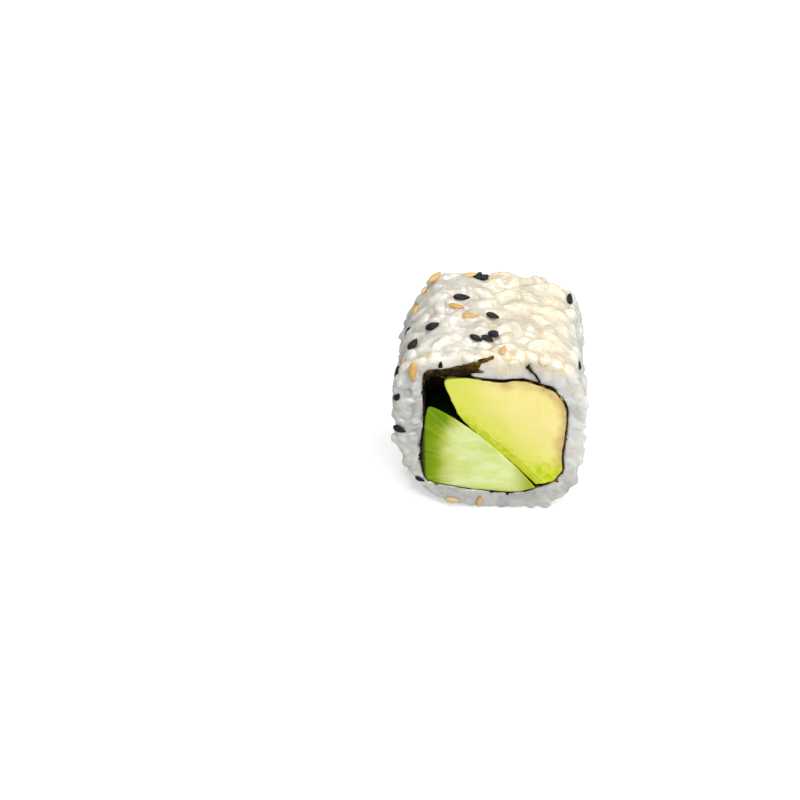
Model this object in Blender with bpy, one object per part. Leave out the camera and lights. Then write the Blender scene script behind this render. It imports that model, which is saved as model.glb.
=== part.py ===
"""One slice of an inside-out sushi roll, lying on its rice with its cut faces at front and back.

The frame is in metres with +Z up. The roll's axis runs along Y, and the front cut face looks along -Y.
The origin is under the middle of the slice, on the plane that it rests on.

Four pieces run through the slice: a thick lumpy wall of rice on the outside, a sheet of nori rolled
once round inside it with its outer end standing up into the rice, and a strip of avocado and a strip
of cucumber inside the nori. A hollow is left between the two strips and the sheet's upper left corner.
"""

import math

import bmesh
import bpy
from mathutils import Matrix, Vector, noise

MM = 0.001

# Driving dimensions, in millimetres.
WIDTH = 38.6  # along X
DEPTH = 32.0  # along Y, from cut face to cut face
HEIGHT = 37.0  # along Z
FOOT_DEPTH = 0.7  # how much the slice's own weight flattens its lowest lumps
RIM = 0.6  # how far the rice falls away at the edge of a cut face
LUMP_HEIGHT = 1.3  # of the grains that stand out of the rice
LUMP_SIZE = 4.6  # the usual distance from one grain's middle to the next
NORI_THICKNESS = 0.4
CLEARANCE = 0.34  # between touching pieces
STRIP_INSET = 0.4  # how far inside each cut face the nori and the filling end
STRIP_DEPTH = DEPTH - 2 * STRIP_INSET
CUTTER_DEPTH = DEPTH + 10.0
PINCH = 0.14  # how far the upper left of the filling moves in towards the middle at the back
PINCH_ANGLE = math.radians(135.0)
PINCH_SHARPNESS = 3  # how closely the pinch keeps to that direction
WELD_DISTANCE = 0.01  # joins a prism's end caps to its sides

# How square each corner of the rice is, as a superellipse's exponent: 2 is round, 5 nearly square.
# Each pair is for the front face and the back face.
CORNERS = {
    ("right", "top"): (3.6, 3.4),
    ("left", "top"): (4.6, 2.3),
    ("left", "bottom"): (1.95, 2.3),
    ("right", "bottom"): (3.1, 3.0),
}
AROUND = 96  # points round the rice
RINGS = 24  # steps along it

# The middle line of the nori in the cut face, as (x, z). It starts at the inner end, above the avocado,
# and runs clockwise round the filling. Its last points lift off as the flap.
NORI_ROUND = [
    (-4.2, 31.9),
    (-1.0, 31.3),
    (2.5, 30.8),
    (6.2, 31.2),
    (9.4, 30.2),
    (12.6, 28.6),
    (14.7, 25.6),
    (15.2, 22.4),
    (14.9, 17.6),
    (14.4, 12.6),
    (14.5, 9.6),
    (12.6, 7.0),
    (9.2, 5.3),
    (4.6, 4.3),
    (-1.0, 4.8),
    (-7.2, 5.8),
    (-12.0, 7.2),
    (-13.3, 10.0),
    (-13.4, 16.0),
    (-12.8, 22.0),
    (-12.8, 29.0),
    (-12.6, 32.2),
    (-11.4, 33.1),
    (-7.6, 33.4),
    (-4.6, 34.0),
]
NORI_INNER_END = [(-9.6, 32.1), (-7.0, 32.2)]
NORI_FLAP_END = [(-2.2, 34.7)]
FLAP_START = -3  # the point of NORI_ROUND where the nori lifts off

# Each strip lies against the nori clockwise from the first to the second of these points of NORI_ROUND,
# counted from 0, and its seam closes its outline.
AVOCADO_REACH = (0, 11)
CUCUMBER_REACH = (12, 19)
AVOCADO_SEAM = [
    (9.4, 6.2),
    (6.5, 9.4),
    (2.3, 14.1),
    (-2.5, 18.7),
    (-5.9, 22.7),
    (-7.5, 26.4),
    (-8.8, 30.4),
    (-8.2, 31.3),
]
CUCUMBER_SEAM = [
    (-11.6, 24.6),
    (-8.5, 22.9),
    (-5.4, 20.3),
    (-2.6, 17.5),
    (2.0, 13.1),
    (6.0, 8.8),
]
SMOOTHING_STEPS = 4  # straight pieces between two named points of an outline

FINISHES = {
    "rice": ((0.83, 0.83, 0.79), 0.35),
    "nori": ((0.012, 0.016, 0.010), 0.40),
    "avocado": ((0.80, 0.82, 0.32), 0.45),
    "cucumber": ((0.50, 0.70, 0.20), 0.30),
}


def clear_scene():
    """Remove every object that Blender starts with."""
    for obj in list(bpy.data.objects):
        bpy.data.objects.remove(obj)


def new_collection(name):
    """A collection in the scene."""
    collection = bpy.data.collections.new(name)
    bpy.context.scene.collection.children.link(collection)
    return collection


def food_material(name):
    """A Principled material with the piece's own colour and gloss."""
    colour, roughness = FINISHES[name]
    material = bpy.data.materials.new(name)
    material.use_nodes = True
    shader = material.node_tree.nodes["Principled BSDF"]
    shader.inputs["Base Color"].default_value = (*colour, 1.0)
    shader.inputs["Roughness"].default_value = roughness
    shader.inputs["Metallic"].default_value = 0.0
    material.diffuse_color = (*colour, 1.0)
    return material


def spline_weights(t):
    """How much the four points round a stretch of a Catmull-Rom curve count, t along that stretch."""
    return (
        -0.5 * t + t**2 - 0.5 * t**3,
        1.0 - 2.5 * t**2 + 1.5 * t**3,
        0.5 * t + 2.0 * t**2 - 1.5 * t**3,
        -0.5 * t**2 + 0.5 * t**3,
    )


def smooth_line(points, closed):
    """A Catmull-Rom curve through the named points, as a list of (x, z)."""
    count = len(points)
    stretches = count if closed else count - 1
    line = []
    for i in range(stretches):
        if closed:
            near = [points[(i + k) % count] for k in (-1, 0, 1, 2)]
        else:
            near = [points[min(max(i + k, 0), count - 1)] for k in (-1, 0, 1, 2)]
        for step in range(SMOOTHING_STEPS):
            weights = spline_weights(step / SMOOTHING_STEPS)
            x = sum(weight * point[0] for weight, point in zip(weights, near))
            z = sum(weight * point[1] for weight, point in zip(weights, near))
            line.append((x, z))
    if not closed:
        line.append(points[-1])
    return line


def moved_sideways(line, distance, closed):
    """The line with each point moved to the left of its travel, which is outwards on a clockwise loop."""
    count = len(line)
    moved = []
    for i, (x, z) in enumerate(line):
        if closed:
            before, after = line[i - 1], line[(i + 1) % count]
        else:
            before, after = line[max(i - 1, 0)], line[min(i + 1, count - 1)]
        along = Vector((after[0] - before[0], after[1] - before[1])).normalized()
        moved.append((x - along.y * distance, z + along.x * distance))
    return moved


def ribbon_outline(line, thickness):
    """The closed outline of a sheet seen edge on, whose middle is the line."""
    left = moved_sideways(line, thickness / 2, closed=False)
    right = moved_sideways(line, -thickness / 2, closed=False)
    return left + right[::-1]


def pinched(point):
    """The point as the roll's squeeze leaves it: its upper left is narrower at the back than at the front.

    A point moves straight towards the slice's middle line, evenly more from front to back, and most of
    all in the direction of PINCH_ANGLE.
    """
    x, y, z = point
    across, upwards = x, z - HEIGHT / 2 * MM
    turn = math.atan2(upwards, across) - PINCH_ANGLE
    near_corner = max(0.0, math.cos(turn)) ** PINCH_SHARPNESS
    share = PINCH * near_corner * (y / (DEPTH * MM) + 0.5)
    return Vector((x - across * share, y, z - upwards * share))


def prism(name, outline, depth, collection):
    """A solid with this outline in X and Z at the front, in millimetres, pinched towards the back.

    It reaches depth / 2 to the front and to the back.
    """
    curve = bpy.data.curves.new(name, "CURVE")
    curve.dimensions = "2D"
    curve.fill_mode = "BOTH"
    curve.extrude = depth / 2 * MM
    spline = curve.splines.new("POLY")
    spline.points.add(len(outline) - 1)
    for point, (x, z) in zip(spline.points, outline):
        point.co = (x * MM, z * MM, 0.0, 1.0)
    spline.use_cyclic_u = True
    flat = bpy.data.objects.new(name + "_curve", curve)
    flat.matrix_world = Matrix.Rotation(math.radians(90.0), 4, "X")
    collection.objects.link(flat)
    bpy.context.view_layer.update()

    graph = bpy.context.evaluated_depsgraph_get()
    mesh = bpy.data.meshes.new_from_object(flat.evaluated_get(graph))
    mesh.name = name
    mesh.transform(flat.matrix_world)
    solid = bpy.data.objects.new(name, mesh)
    bpy.data.objects.remove(flat)
    collection.objects.link(solid)

    shape = bmesh.new()
    shape.from_mesh(mesh)
    bmesh.ops.remove_doubles(shape, verts=shape.verts, dist=WELD_DISTANCE * MM)
    bmesh.ops.recalc_face_normals(shape, faces=shape.faces)
    for vertex in shape.verts:
        vertex.co = pinched(vertex.co)
    shape.to_mesh(mesh)
    shape.free()
    return solid


def rice_radius(angle, back_share):
    """Distance from the slice's middle line to the rice's outer surface, before its lumps, in millimetres.

    The outline is a superellipse. Each quarter has its own exponent, which changes evenly from the front
    face, where back_share is 0, to the back face, where it is 1.
    """
    side = "right" if math.cos(angle) >= 0 else "left"
    level = "top" if math.sin(angle) >= 0 else "bottom"
    front, back = CORNERS[side, level]
    power = front + (back - front) * back_share
    across = abs(math.cos(angle)) / (WIDTH / 2)
    upwards = abs(math.sin(angle)) / (HEIGHT / 2)
    return (across**power + upwards**power) ** (-1.0 / power)


def rice_point(angle, back_share):
    """A point on the rice's lumpy outer surface, in millimetres."""
    y = (back_share - 0.5) * DEPTH
    radius = rice_radius(angle, back_share)
    plain = Vector((radius * math.cos(angle), y, radius * math.sin(angle)))
    nearest_grain = noise.voronoi(plain / LUMP_SIZE)[0][0]
    lump = LUMP_HEIGHT * (0.5 - nearest_grain)
    past_rim = min(max(0.0, abs(y) - (DEPTH / 2 - RIM)) / RIM, 1.0)
    radius += lump - RIM * (1.0 - math.sqrt(1.0 - past_rim**2))
    return Vector((radius * math.cos(angle), y, HEIGHT / 2 + radius * math.sin(angle)))


def fit_to_box(points):
    """Flatten the lowest lumps into a foot, then stretch the points to fill the slice's box exactly."""
    foot = min(p.z for p in points) + FOOT_DEPTH
    for p in points:
        p.z = max(p.z, foot)
    low = Vector([min(p[k] for p in points) for k in range(3)])
    high = Vector([max(p[k] for p in points) for k in range(3)])
    size = Vector((WIDTH, DEPTH, HEIGHT))
    corner = Vector((-WIDTH / 2, -DEPTH / 2, 0.0))
    for p in points:
        for k in range(3):
            p[k] = corner[k] + (p[k] - low[k]) / (high[k] - low[k]) * size[k]


def rice_block(collection):
    """The rice as one closed block, with no room in it yet: a ringed cylinder shaped by rice_point."""
    shape = bmesh.new()
    bmesh.ops.create_cone(shape, cap_ends=True, segments=AROUND, radius1=1.0, radius2=1.0, depth=1.0)
    lengthwise = [e for e in shape.edges if abs(e.verts[0].co.z - e.verts[1].co.z) > 0.5]
    bmesh.ops.subdivide_edges(shape, edges=lengthwise, cuts=RINGS - 1)
    points = []
    for vertex in shape.verts:
        angle = math.atan2(vertex.co.y, vertex.co.x)
        points.append(rice_point(angle, vertex.co.z + 0.5))
    fit_to_box(points)
    for vertex, point in zip(shape.verts, points):
        vertex.co = point * MM
    bmesh.ops.recalc_face_normals(shape, faces=shape.faces)
    mesh = bpy.data.meshes.new("rice")
    shape.to_mesh(mesh)
    shape.free()
    block = bpy.data.objects.new("rice", mesh)
    collection.objects.link(block)
    return block


def cut(block, cutter):
    """Take the cutter's shape out of the block, and keep the cutter out of the render."""
    modifier = block.modifiers.new("cut_" + cutter.name, "BOOLEAN")
    modifier.operation = "DIFFERENCE"
    modifier.object = cutter
    cutter.hide_render = True
    cutter.display_type = "WIRE"


def nori_sheet(collection):
    """The sheet of nori, from its inner end, round the filling and out to the flap."""
    middle = smooth_line(NORI_INNER_END + NORI_ROUND + NORI_FLAP_END, closed=False)
    return prism("nori", ribbon_outline(middle, NORI_THICKNESS), STRIP_DEPTH, collection)


def lengthened(line, distance):
    """The line with its last point carried on by distance."""
    end = Vector(line[-1])
    along = (end - Vector(line[-2])).normalized()
    return line[:-1] + [tuple(end + along * distance)]


def rice_wall(collection, cutters):
    """The rice with room for the rolled nori, and a slot for the nori's flap."""
    block = rice_block(collection)
    reach = NORI_THICKNESS / 2 + CLEARANCE
    rolled = moved_sideways(smooth_line(NORI_ROUND, closed=True), reach, closed=True)
    flap = smooth_line(NORI_ROUND[FLAP_START:] + NORI_FLAP_END, closed=False)
    slot = ribbon_outline(lengthened(flap, CLEARANCE), 2 * reach)
    cut(block, prism("rolled_room", rolled, CUTTER_DEPTH, cutters))
    cut(block, prism("flap_room", slot, CUTTER_DEPTH, cutters))
    return block


def filling_strip(name, reach, seam, collection):
    """A strip of filling: a stretch of the nori's inner face, with a gap to it, closed by a seam."""
    start, end = (point * SMOOTHING_STEPS for point in reach)
    gap = NORI_THICKNESS / 2 + CLEARANCE
    lining = moved_sideways(smooth_line(NORI_ROUND, closed=False), -gap, closed=False)
    outline = lining[start : end + 1] + smooth_line(seam, closed=False)
    return prism(name, outline, STRIP_DEPTH, collection)


def main():
    """Build the slice."""
    clear_scene()
    parts = new_collection("uramaki_slice")
    cutters = new_collection("cutters")
    pieces = [
        rice_wall(parts, cutters),
        nori_sheet(parts),
        filling_strip("avocado", AVOCADO_REACH, AVOCADO_SEAM, parts),
        filling_strip("cucumber", CUCUMBER_REACH, CUCUMBER_SEAM, parts),
    ]
    for piece in pieces:
        piece.data.materials.append(food_material(piece.name))


main()
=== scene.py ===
"""The looks of one slice of an inside-out sushi roll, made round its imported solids.

The slice lies on its rice, with its cut faces at front (-Y) and back (+Y). Grains of sticky rice, fused
into a wall, replace the rice solid. A rolled sheet of nori, torn at its outer end, replaces the nori
solid, and two cut strips, avocado and cucumber, fill it. Black and golden sesame seeds lie on the rice.

Lengths are in millimetres until a mesh is made. The frame's own axes are used throughout: X to the
right of the front face, Y from front to back, Z up. A turn is an angle about the slice's middle line,
anticlockwise in the front face, from +X.
"""

import logging
import math
from dataclasses import dataclass, field
from enum import Enum

import bmesh
import bpy
import numpy as np
from mathutils import Matrix, Vector
from mathutils.bvhtree import BVHTree

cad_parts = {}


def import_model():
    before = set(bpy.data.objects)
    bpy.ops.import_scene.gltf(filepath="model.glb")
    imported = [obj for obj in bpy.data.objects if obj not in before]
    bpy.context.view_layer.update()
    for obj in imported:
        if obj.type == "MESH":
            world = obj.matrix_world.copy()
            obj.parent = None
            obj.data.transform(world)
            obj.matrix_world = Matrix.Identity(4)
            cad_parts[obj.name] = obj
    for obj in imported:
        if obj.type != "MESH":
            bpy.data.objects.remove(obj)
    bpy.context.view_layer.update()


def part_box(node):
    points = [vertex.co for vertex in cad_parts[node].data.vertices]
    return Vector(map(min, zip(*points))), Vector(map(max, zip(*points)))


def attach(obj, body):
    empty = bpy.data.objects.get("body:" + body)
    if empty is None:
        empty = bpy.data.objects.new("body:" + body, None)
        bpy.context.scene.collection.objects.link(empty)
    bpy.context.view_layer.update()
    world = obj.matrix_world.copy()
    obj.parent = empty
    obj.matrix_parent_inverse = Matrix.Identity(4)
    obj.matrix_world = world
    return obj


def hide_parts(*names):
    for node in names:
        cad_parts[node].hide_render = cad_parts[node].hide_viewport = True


log = logging.getLogger("uramaki")

Array = np.ndarray
Colour = tuple[float, float, float]

MM = 0.001
FULL_TURN = 2.0 * math.pi
BODY = "root"


# ---------------------------------------------------------------------------------------------------
# Shapes shared by the pieces
# ---------------------------------------------------------------------------------------------------


class Noise:
    """Smooth noise in space, near -1 to 1, always the same for the same seed."""

    CELLS = 256
    GAIN = 1.6

    def __init__(self, seed: int) -> None:
        """Draw the gradients that the noise is made of.

        Args:
            seed: Which noise this is.
        """
        rng = np.random.default_rng(seed)
        self.order = rng.permutation(self.CELLS)
        gradients = rng.normal(size=(self.CELLS, 3))
        self.gradients = gradients / np.linalg.norm(gradients, axis=1, keepdims=True)

    def at(self, points: Array, size: float) -> Array:
        """The noise at many points.

        Space is cut into cubes of the given size. Each cube's corner has a gradient of its own, and the
        value is the sum of the eight corners' gradients, each dotted with the way from the corner to the
        point and weighted by 6t^5 - 15t^4 + 10t^3 of the place inside the cube.

        Args:
            points: An array whose last axis is X, Y and Z.
            size: The width of the noise's blobs.

        Returns:
            An array of values, without the last axis of the points.
        """
        spot = points / size
        cell = np.floor(spot).astype(int)
        inside = spot - cell
        blend = inside**3 * (inside * (inside * 6.0 - 15.0) + 10.0)
        total = np.zeros(points.shape[:-1])
        for corner in np.ndindex(2, 2, 2):
            near = (cell + corner) % self.CELLS
            key = self.order[near[..., 0]] + near[..., 1]
            key = self.order[key % self.CELLS] + near[..., 2]
            gradient = self.gradients[self.order[key % self.CELLS]]
            weight = np.prod(np.where(np.array(corner) == 1, blend, 1.0 - blend), axis=-1)
            total += weight * (gradient * (inside - corner)).sum(axis=-1)
        return total * self.GAIN


def smoothstep(low: float, high: float, value: Array) -> Array:
    """0 up to low, 1 from high, and 3t^2 - 2t^3 between them."""
    t = np.clip((value - low) / (high - low), 0.0, 1.0)
    return t * t * (3.0 - 2.0 * t)


def smooth_line(points: Array, steps: int, closed: bool) -> Array:
    """A Catmull-Rom curve: a cubic through the named points, whose slope at each is half the step past it.

    Args:
        points: The named points, one a row.
        steps: How many points each stretch is cut into.
        closed: Whether the last point joins the first.

    Returns:
        The curve's points, one a row.
    """
    if closed:
        before, after, beyond = (np.roll(points, -k, axis=0) for k in (-1, 1, 2))
        start = points
    else:
        padded = np.concatenate([points[:1], points, points[-1:]])
        before, start, after, beyond = padded[:-3], padded[1:-2], padded[2:-1], padded[3:]
    t = (np.arange(steps) / steps)[None, :, None]
    line = (
        before[:, None] * (-0.5 * t + t**2 - 0.5 * t**3)
        + start[:, None] * (1.0 - 2.5 * t**2 + 1.5 * t**3)
        + after[:, None] * (0.5 * t + 2.0 * t**2 - 1.5 * t**3)
        + beyond[:, None] * (-0.5 * t**2 + 0.5 * t**3)
    ).reshape(-1, points.shape[1])
    return line if closed else np.concatenate([line, points[-1:]])


def evenly_spaced(line: Array, count: int, closed: bool) -> Array:
    """The same line through count points, equally far apart along it.

    Args:
        line: The line's points, one a row.
        count: How many points to give back.
        closed: Whether the last point joins the first.

    Returns:
        The new points, one a row.
    """
    path = np.concatenate([line, line[:1]]) if closed else line
    gone = np.concatenate([[0.0], np.cumsum(np.linalg.norm(np.diff(path, axis=0), axis=1))])
    wanted = np.linspace(0.0, gone[-1], count, endpoint=not closed)
    return np.stack([np.interp(wanted, gone, path[:, k]) for k in range(path.shape[1])], axis=1)


def sideways_of(line: Array, closed: bool) -> Array:
    """The unit vector to the left of travel at each point of a line in X and Z.

    On a loop that runs clockwise in the front face, left is outwards.

    Args:
        line: The line's points, one a row.
        closed: Whether the last point joins the first.

    Returns:
        The unit vectors, one a row.
    """
    if closed:
        along = np.roll(line, -1, axis=0) - np.roll(line, 1, axis=0)
    else:
        along = np.gradient(line, axis=0)
    along = along / np.linalg.norm(along, axis=1, keepdims=True)
    return np.stack([-along[:, 1], along[:, 0]], axis=1)


def distance_to_line(points: Array, line: Array) -> Array:
    """How far each point in X and Z is from the nearest of the line's stretches.

    A point is carried onto each stretch by its dot product with it, held between the stretch's ends.

    Args:
        points: The points, one a row.
        line: An open line's points, one a row.

    Returns:
        One distance for each point.
    """
    start = line[:-1]
    step = line[1:] - start
    from_start = points[:, None, :] - start[None]
    along = (from_start * step).sum(axis=2) / np.maximum((step**2).sum(axis=1), 1e-12)
    along = np.clip(along, 0.0, 1.0)[..., None]
    return np.linalg.norm(from_start - along * step, axis=2).min(axis=1)


@dataclass(frozen=True)
class RollShape:
    """The outlines that the solids and the looks share."""

    width: float
    depth: float
    height: float
    pinch: float = 0.14
    pinch_turn: float = math.radians(135.0)
    pinch_sharpness: int = 3
    # How square the rice's corners are at the front and the back: right top, left top, left bottom and
    # right bottom, as a superellipse's exponent.
    front_corners: tuple[float, float, float, float] = (3.6, 4.6, 1.95, 3.1)
    back_corners: tuple[float, float, float, float] = (3.4, 2.3, 2.3, 3.0)
    # The middle line of the nori, clockwise from its inner end, as (x, z).
    nori_inner_end: tuple[tuple[float, float], ...] = ((-9.6, 32.1), (-7.0, 32.2))
    nori_round: tuple[tuple[float, float], ...] = (
        (-4.2, 31.9),
        (-1.0, 31.3),
        (2.5, 30.8),
        (6.2, 31.2),
        (9.4, 30.2),
        (12.6, 28.6),
        (14.7, 25.6),
        (15.2, 22.4),
        (14.9, 17.6),
        (14.4, 12.6),
        (14.5, 9.6),
        (12.6, 7.0),
        (9.2, 5.3),
        (4.6, 4.3),
        (-1.0, 4.8),
        (-7.2, 5.8),
        (-12.0, 7.2),
        (-13.3, 10.0),
        (-13.4, 16.0),
        (-12.8, 22.0),
        (-12.8, 29.0),
        (-12.6, 32.2),
        (-11.4, 33.1),
        (-7.6, 33.4),
        (-4.6, 34.0),
    )
    line_steps: int = 12

    @property
    def middle(self) -> float:
        """How high the slice's middle line is."""
        return self.height / 2.0

    def turn_and_reach(self, points: Array) -> tuple[Array, Array]:
        """Each point's turn about the middle line, and its distance from it."""
        up = points[..., 2] - self.middle
        return np.arctan2(up, points[..., 0]), np.hypot(points[..., 0], up)

    def placed(self, turn: Array, reach: Array, y: Array) -> Array:
        """The points with these turns, distances from the middle line and places along it."""
        turn, reach, y = np.broadcast_arrays(turn, reach, y)
        return np.stack([reach * np.cos(turn), y, self.middle + reach * np.sin(turn)], axis=-1)

    def rice_reach(self, turn: Array, y: Array) -> Array:
        """How far out the rice goes: (|cos|/half width)^p + (|sin|/half height)^p = reach^-p.

        The exponent p is each quarter's own, and changes evenly from front to back.

        Args:
            turn: The turns.
            y: The places along the slice.

        Returns:
            The distances from the middle line.
        """
        quarter = np.floor((turn % FULL_TURN) / (FULL_TURN / 4.0)).astype(int) % 4
        front = np.array(self.front_corners)[quarter]
        back = np.array(self.back_corners)[quarter]
        power = front + (back - front) * np.clip(y / self.depth + 0.5, 0.0, 1.0)
        across = np.abs(np.cos(turn)) / (self.width / 2.0)
        upwards = np.abs(np.sin(turn)) / (self.height / 2.0)
        return (across**power + upwards**power) ** (-1.0 / power)

    def pinched(self, points: Array) -> Array:
        """The points moved as the roll's squeeze moves them, towards the middle line at the upper left.

        A point comes in by pinch times the cube of the cosine of its turn from the upper left, times how
        far back it is, from 0 at the front to 1 at the back.

        Args:
            points: An array whose last axis is X, Y and Z.

        Returns:
            The moved points, in the same form.
        """
        turn, _ = self.turn_and_reach(points)
        near = np.maximum(0.0, np.cos(turn - self.pinch_turn)) ** self.pinch_sharpness
        share = self.pinch * near * (points[..., 1] / self.depth + 0.5)
        centre = np.array([0.0, 0.0, self.middle])
        inwards = (points - centre) * np.array([1.0, 0.0, 1.0])
        return points - inwards * share[..., None]

    def nori_line(self) -> Array:
        """The nori's middle line once round, from above the avocado to the foot of its flap."""
        return smooth_line(np.array(self.nori_round), self.line_steps, closed=False)

    def lining(self, start: int, end: int, gap: float) -> Array:
        """A stretch of the nori's line moved inwards by gap, between two of its named points."""
        line = self.nori_line()
        inner = line - sideways_of(line, closed=False) * gap
        return inner[start * self.line_steps : end * self.line_steps + 1]


def new_mesh_object(name: str, points: Array, quads: Array, triangles: Array | None = None) -> bpy.types.Object:
    """Put a surface into a mesh object at the origin.

    Args:
        name: The object's name.
        points: The points in millimetres, one a row.
        quads: Each quad's four point numbers, one quad a row.
        triangles: Each triangle's three point numbers, one triangle a row, if there are any.

    Returns:
        The new object, linked to the scene, with its faces turned outwards and shaded smooth.
    """
    corners = [quads.reshape(-1)]
    starts = [np.arange(len(quads)) * 4]
    if triangles is not None and len(triangles):
        corners.append(triangles.reshape(-1))
        starts.append(len(quads) * 4 + np.arange(len(triangles)) * 3)
    loops = np.concatenate(corners).astype(np.int32)
    mesh = bpy.data.meshes.new(name)
    mesh.vertices.add(len(points))
    mesh.vertices.foreach_set("co", (points * MM).astype(np.float32).ravel())
    mesh.loops.add(len(loops))
    mesh.loops.foreach_set("vertex_index", loops)
    mesh.polygons.add(sum(len(s) for s in starts))
    mesh.polygons.foreach_set("loop_start", np.concatenate(starts).astype(np.int32))
    mesh.update(calc_edges=True)
    shape = bmesh.new()
    shape.from_mesh(mesh)
    bmesh.ops.recalc_face_normals(shape, faces=shape.faces)
    shape.to_mesh(mesh)
    shape.free()
    mesh.shade_smooth()
    obj = bpy.data.objects.new(name, mesh)
    bpy.context.scene.collection.objects.link(obj)
    return obj


def grid_quads(rows: int, columns: int, close_rows: bool, close_columns: bool) -> Array:
    """The quads of a grid of points that is stored row by row.

    Args:
        rows: How many rows of points there are.
        columns: How many points a row has.
        close_rows: Whether the last row joins the first.
        close_columns: Whether each row's last point joins its first.

    Returns:
        Each quad's four point numbers, one quad a row.
    """
    row = np.arange(rows if close_rows else rows - 1)[:, None]
    column = np.arange(columns if close_columns else columns - 1)[None, :]
    next_row = (row + 1) % rows
    next_column = (column + 1) % columns
    quads = [row * columns + column, row * columns + next_column]
    quads += [next_row * columns + next_column, next_row * columns + column]
    return np.stack(np.broadcast_arrays(*quads), axis=-1).reshape(-1, 4)


def pole_triangles(pole: int, ring_start: int, columns: int) -> Array:
    """The fan of triangles that joins a pole to a closed ring of points.

    Args:
        pole: The pole's point number.
        ring_start: The ring's first point number.
        columns: How many points the ring has.

    Returns:
        Each triangle's three point numbers, one triangle a row.
    """
    column = np.arange(columns)
    after = ring_start + (column + 1) % columns
    return np.stack([np.full(columns, pole), ring_start + column, after], axis=1)


def set_attribute(obj: bpy.types.Object, name: str, values: Array) -> None:
    """Store one number for each point of a mesh, for the materials to read.

    Args:
        obj: The mesh object.
        name: The attribute's name.
        values: One number for each point.
    """
    layer = obj.data.attributes.new(name, "FLOAT", "POINT")
    layer.data.foreach_set("value", values.astype(np.float32))


def points_of(obj: bpy.types.Object) -> Array:
    """A mesh object's points in millimetres, one a row."""
    flat = np.empty(len(obj.data.vertices) * 3, np.float32)
    obj.data.vertices.foreach_get("co", flat)
    return flat.reshape(-1, 3).astype(float) / MM


def apply_modifiers(obj: bpy.types.Object) -> None:
    """Replace an object's mesh with what its modifiers make of it, and remove them."""
    graph = bpy.context.evaluated_depsgraph_get()
    finished = bpy.data.meshes.new_from_object(obj.evaluated_get(graph))
    old = obj.data
    obj.modifiers.clear()
    obj.data = finished
    finished.name = obj.name
    bpy.data.meshes.remove(old)


def spread(count: int, low: Array, high: Array, rng: np.random.Generator, wrap_first: bool = False) -> Array:
    """Places in a rectangle that keep as far from each other as they can.

    Each new place is the one, of many tries, whose nearest neighbour is furthest away.

    Args:
        count: How many places to find.
        low: The rectangle's lowest corner.
        high: The rectangle's highest corner.
        rng: Where the tries come from.
        wrap_first: Whether the rectangle closes on itself along its first side.

    Returns:
        The places, one a row.
    """
    tries_each = 24
    size = high - low
    places = np.empty((count, 2))
    places[0] = low + rng.random(2) * size
    for i in range(1, count):
        tries = low + rng.random((tries_each, 2)) * size
        apart = np.abs(tries[:, None] - places[None, :i])
        if wrap_first:
            apart[..., 0] = np.minimum(apart[..., 0], size[0] - apart[..., 0])
        nearest = np.hypot(apart[..., 0], apart[..., 1]).min(axis=1)
        places[i] = tries[nearest.argmax()]
    return places


# ---------------------------------------------------------------------------------------------------
# Finishes
# ---------------------------------------------------------------------------------------------------


class NodeBoard:
    """A short way to lay out the nodes of a material or of a node group."""

    def __init__(self, tree: bpy.types.NodeTree) -> None:
        """Start laying out nodes in a tree."""
        self.tree = tree

    def add(self, kind: str, **settings: object) -> bpy.types.Node:
        """Add a node and set its properties.

        Args:
            kind: The node's type, without its ShaderNode prefix.
            **settings: The node's properties by name.

        Returns:
            The new node.
        """
        node = self.tree.nodes.new("ShaderNode" + kind)
        for name, value in settings.items():
            setattr(node, name, value)
        return node

    def feed(self, socket: bpy.types.NodeSocket, source: object) -> None:
        """Link a socket to another node's output, or set it to a plain value."""
        if isinstance(source, bpy.types.NodeSocket):
            self.tree.links.new(source, socket)
        elif isinstance(source, tuple) and len(source) == 3 and socket.type == "RGBA":
            socket.default_value = (*source, 1.0)
        else:
            socket.default_value = source

    def attribute(self, name: str) -> bpy.types.NodeSocket:
        """The number that a mesh stores under this name."""
        return self.add("Attribute", attribute_name=name).outputs["Fac"]

    def maths(self, operation: str, first: object, second: object = 0.0) -> bpy.types.NodeSocket:
        """The result of a sum on two numbers, kept between 0 and 1.

        Args:
            operation: Which sum, as the Math node names it.
            first: A socket or a number.
            second: A socket or a number.

        Returns:
            The result's socket.
        """
        node = self.add("Math", operation=operation, use_clamp=True)
        self.feed(node.inputs[0], first)
        self.feed(node.inputs[1], second)
        return node.outputs[0]

    def mix(self, share: object, first: object, second: object) -> bpy.types.NodeSocket:
        """A colour between two colours.

        Args:
            share: How much of the second colour there is, from 0 to 1.
            first: A socket or a colour.
            second: A socket or a colour.

        Returns:
            The mixed colour's socket.
        """
        node = self.add("Mix", data_type="RGBA")
        self.feed(node.inputs[0], share)
        self.feed(node.inputs[6], first)
        self.feed(node.inputs[7], second)
        return node.outputs[2]

    def group(self, tree: bpy.types.NodeTree, **values: object) -> bpy.types.Node:
        """Place a node group and give its inputs their values, with _ for each space in a name."""
        node = self.add("Group", node_tree=tree)
        for name, value in values.items():
            self.feed(node.inputs[name.replace("_", " ")], value)
        return node


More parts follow.
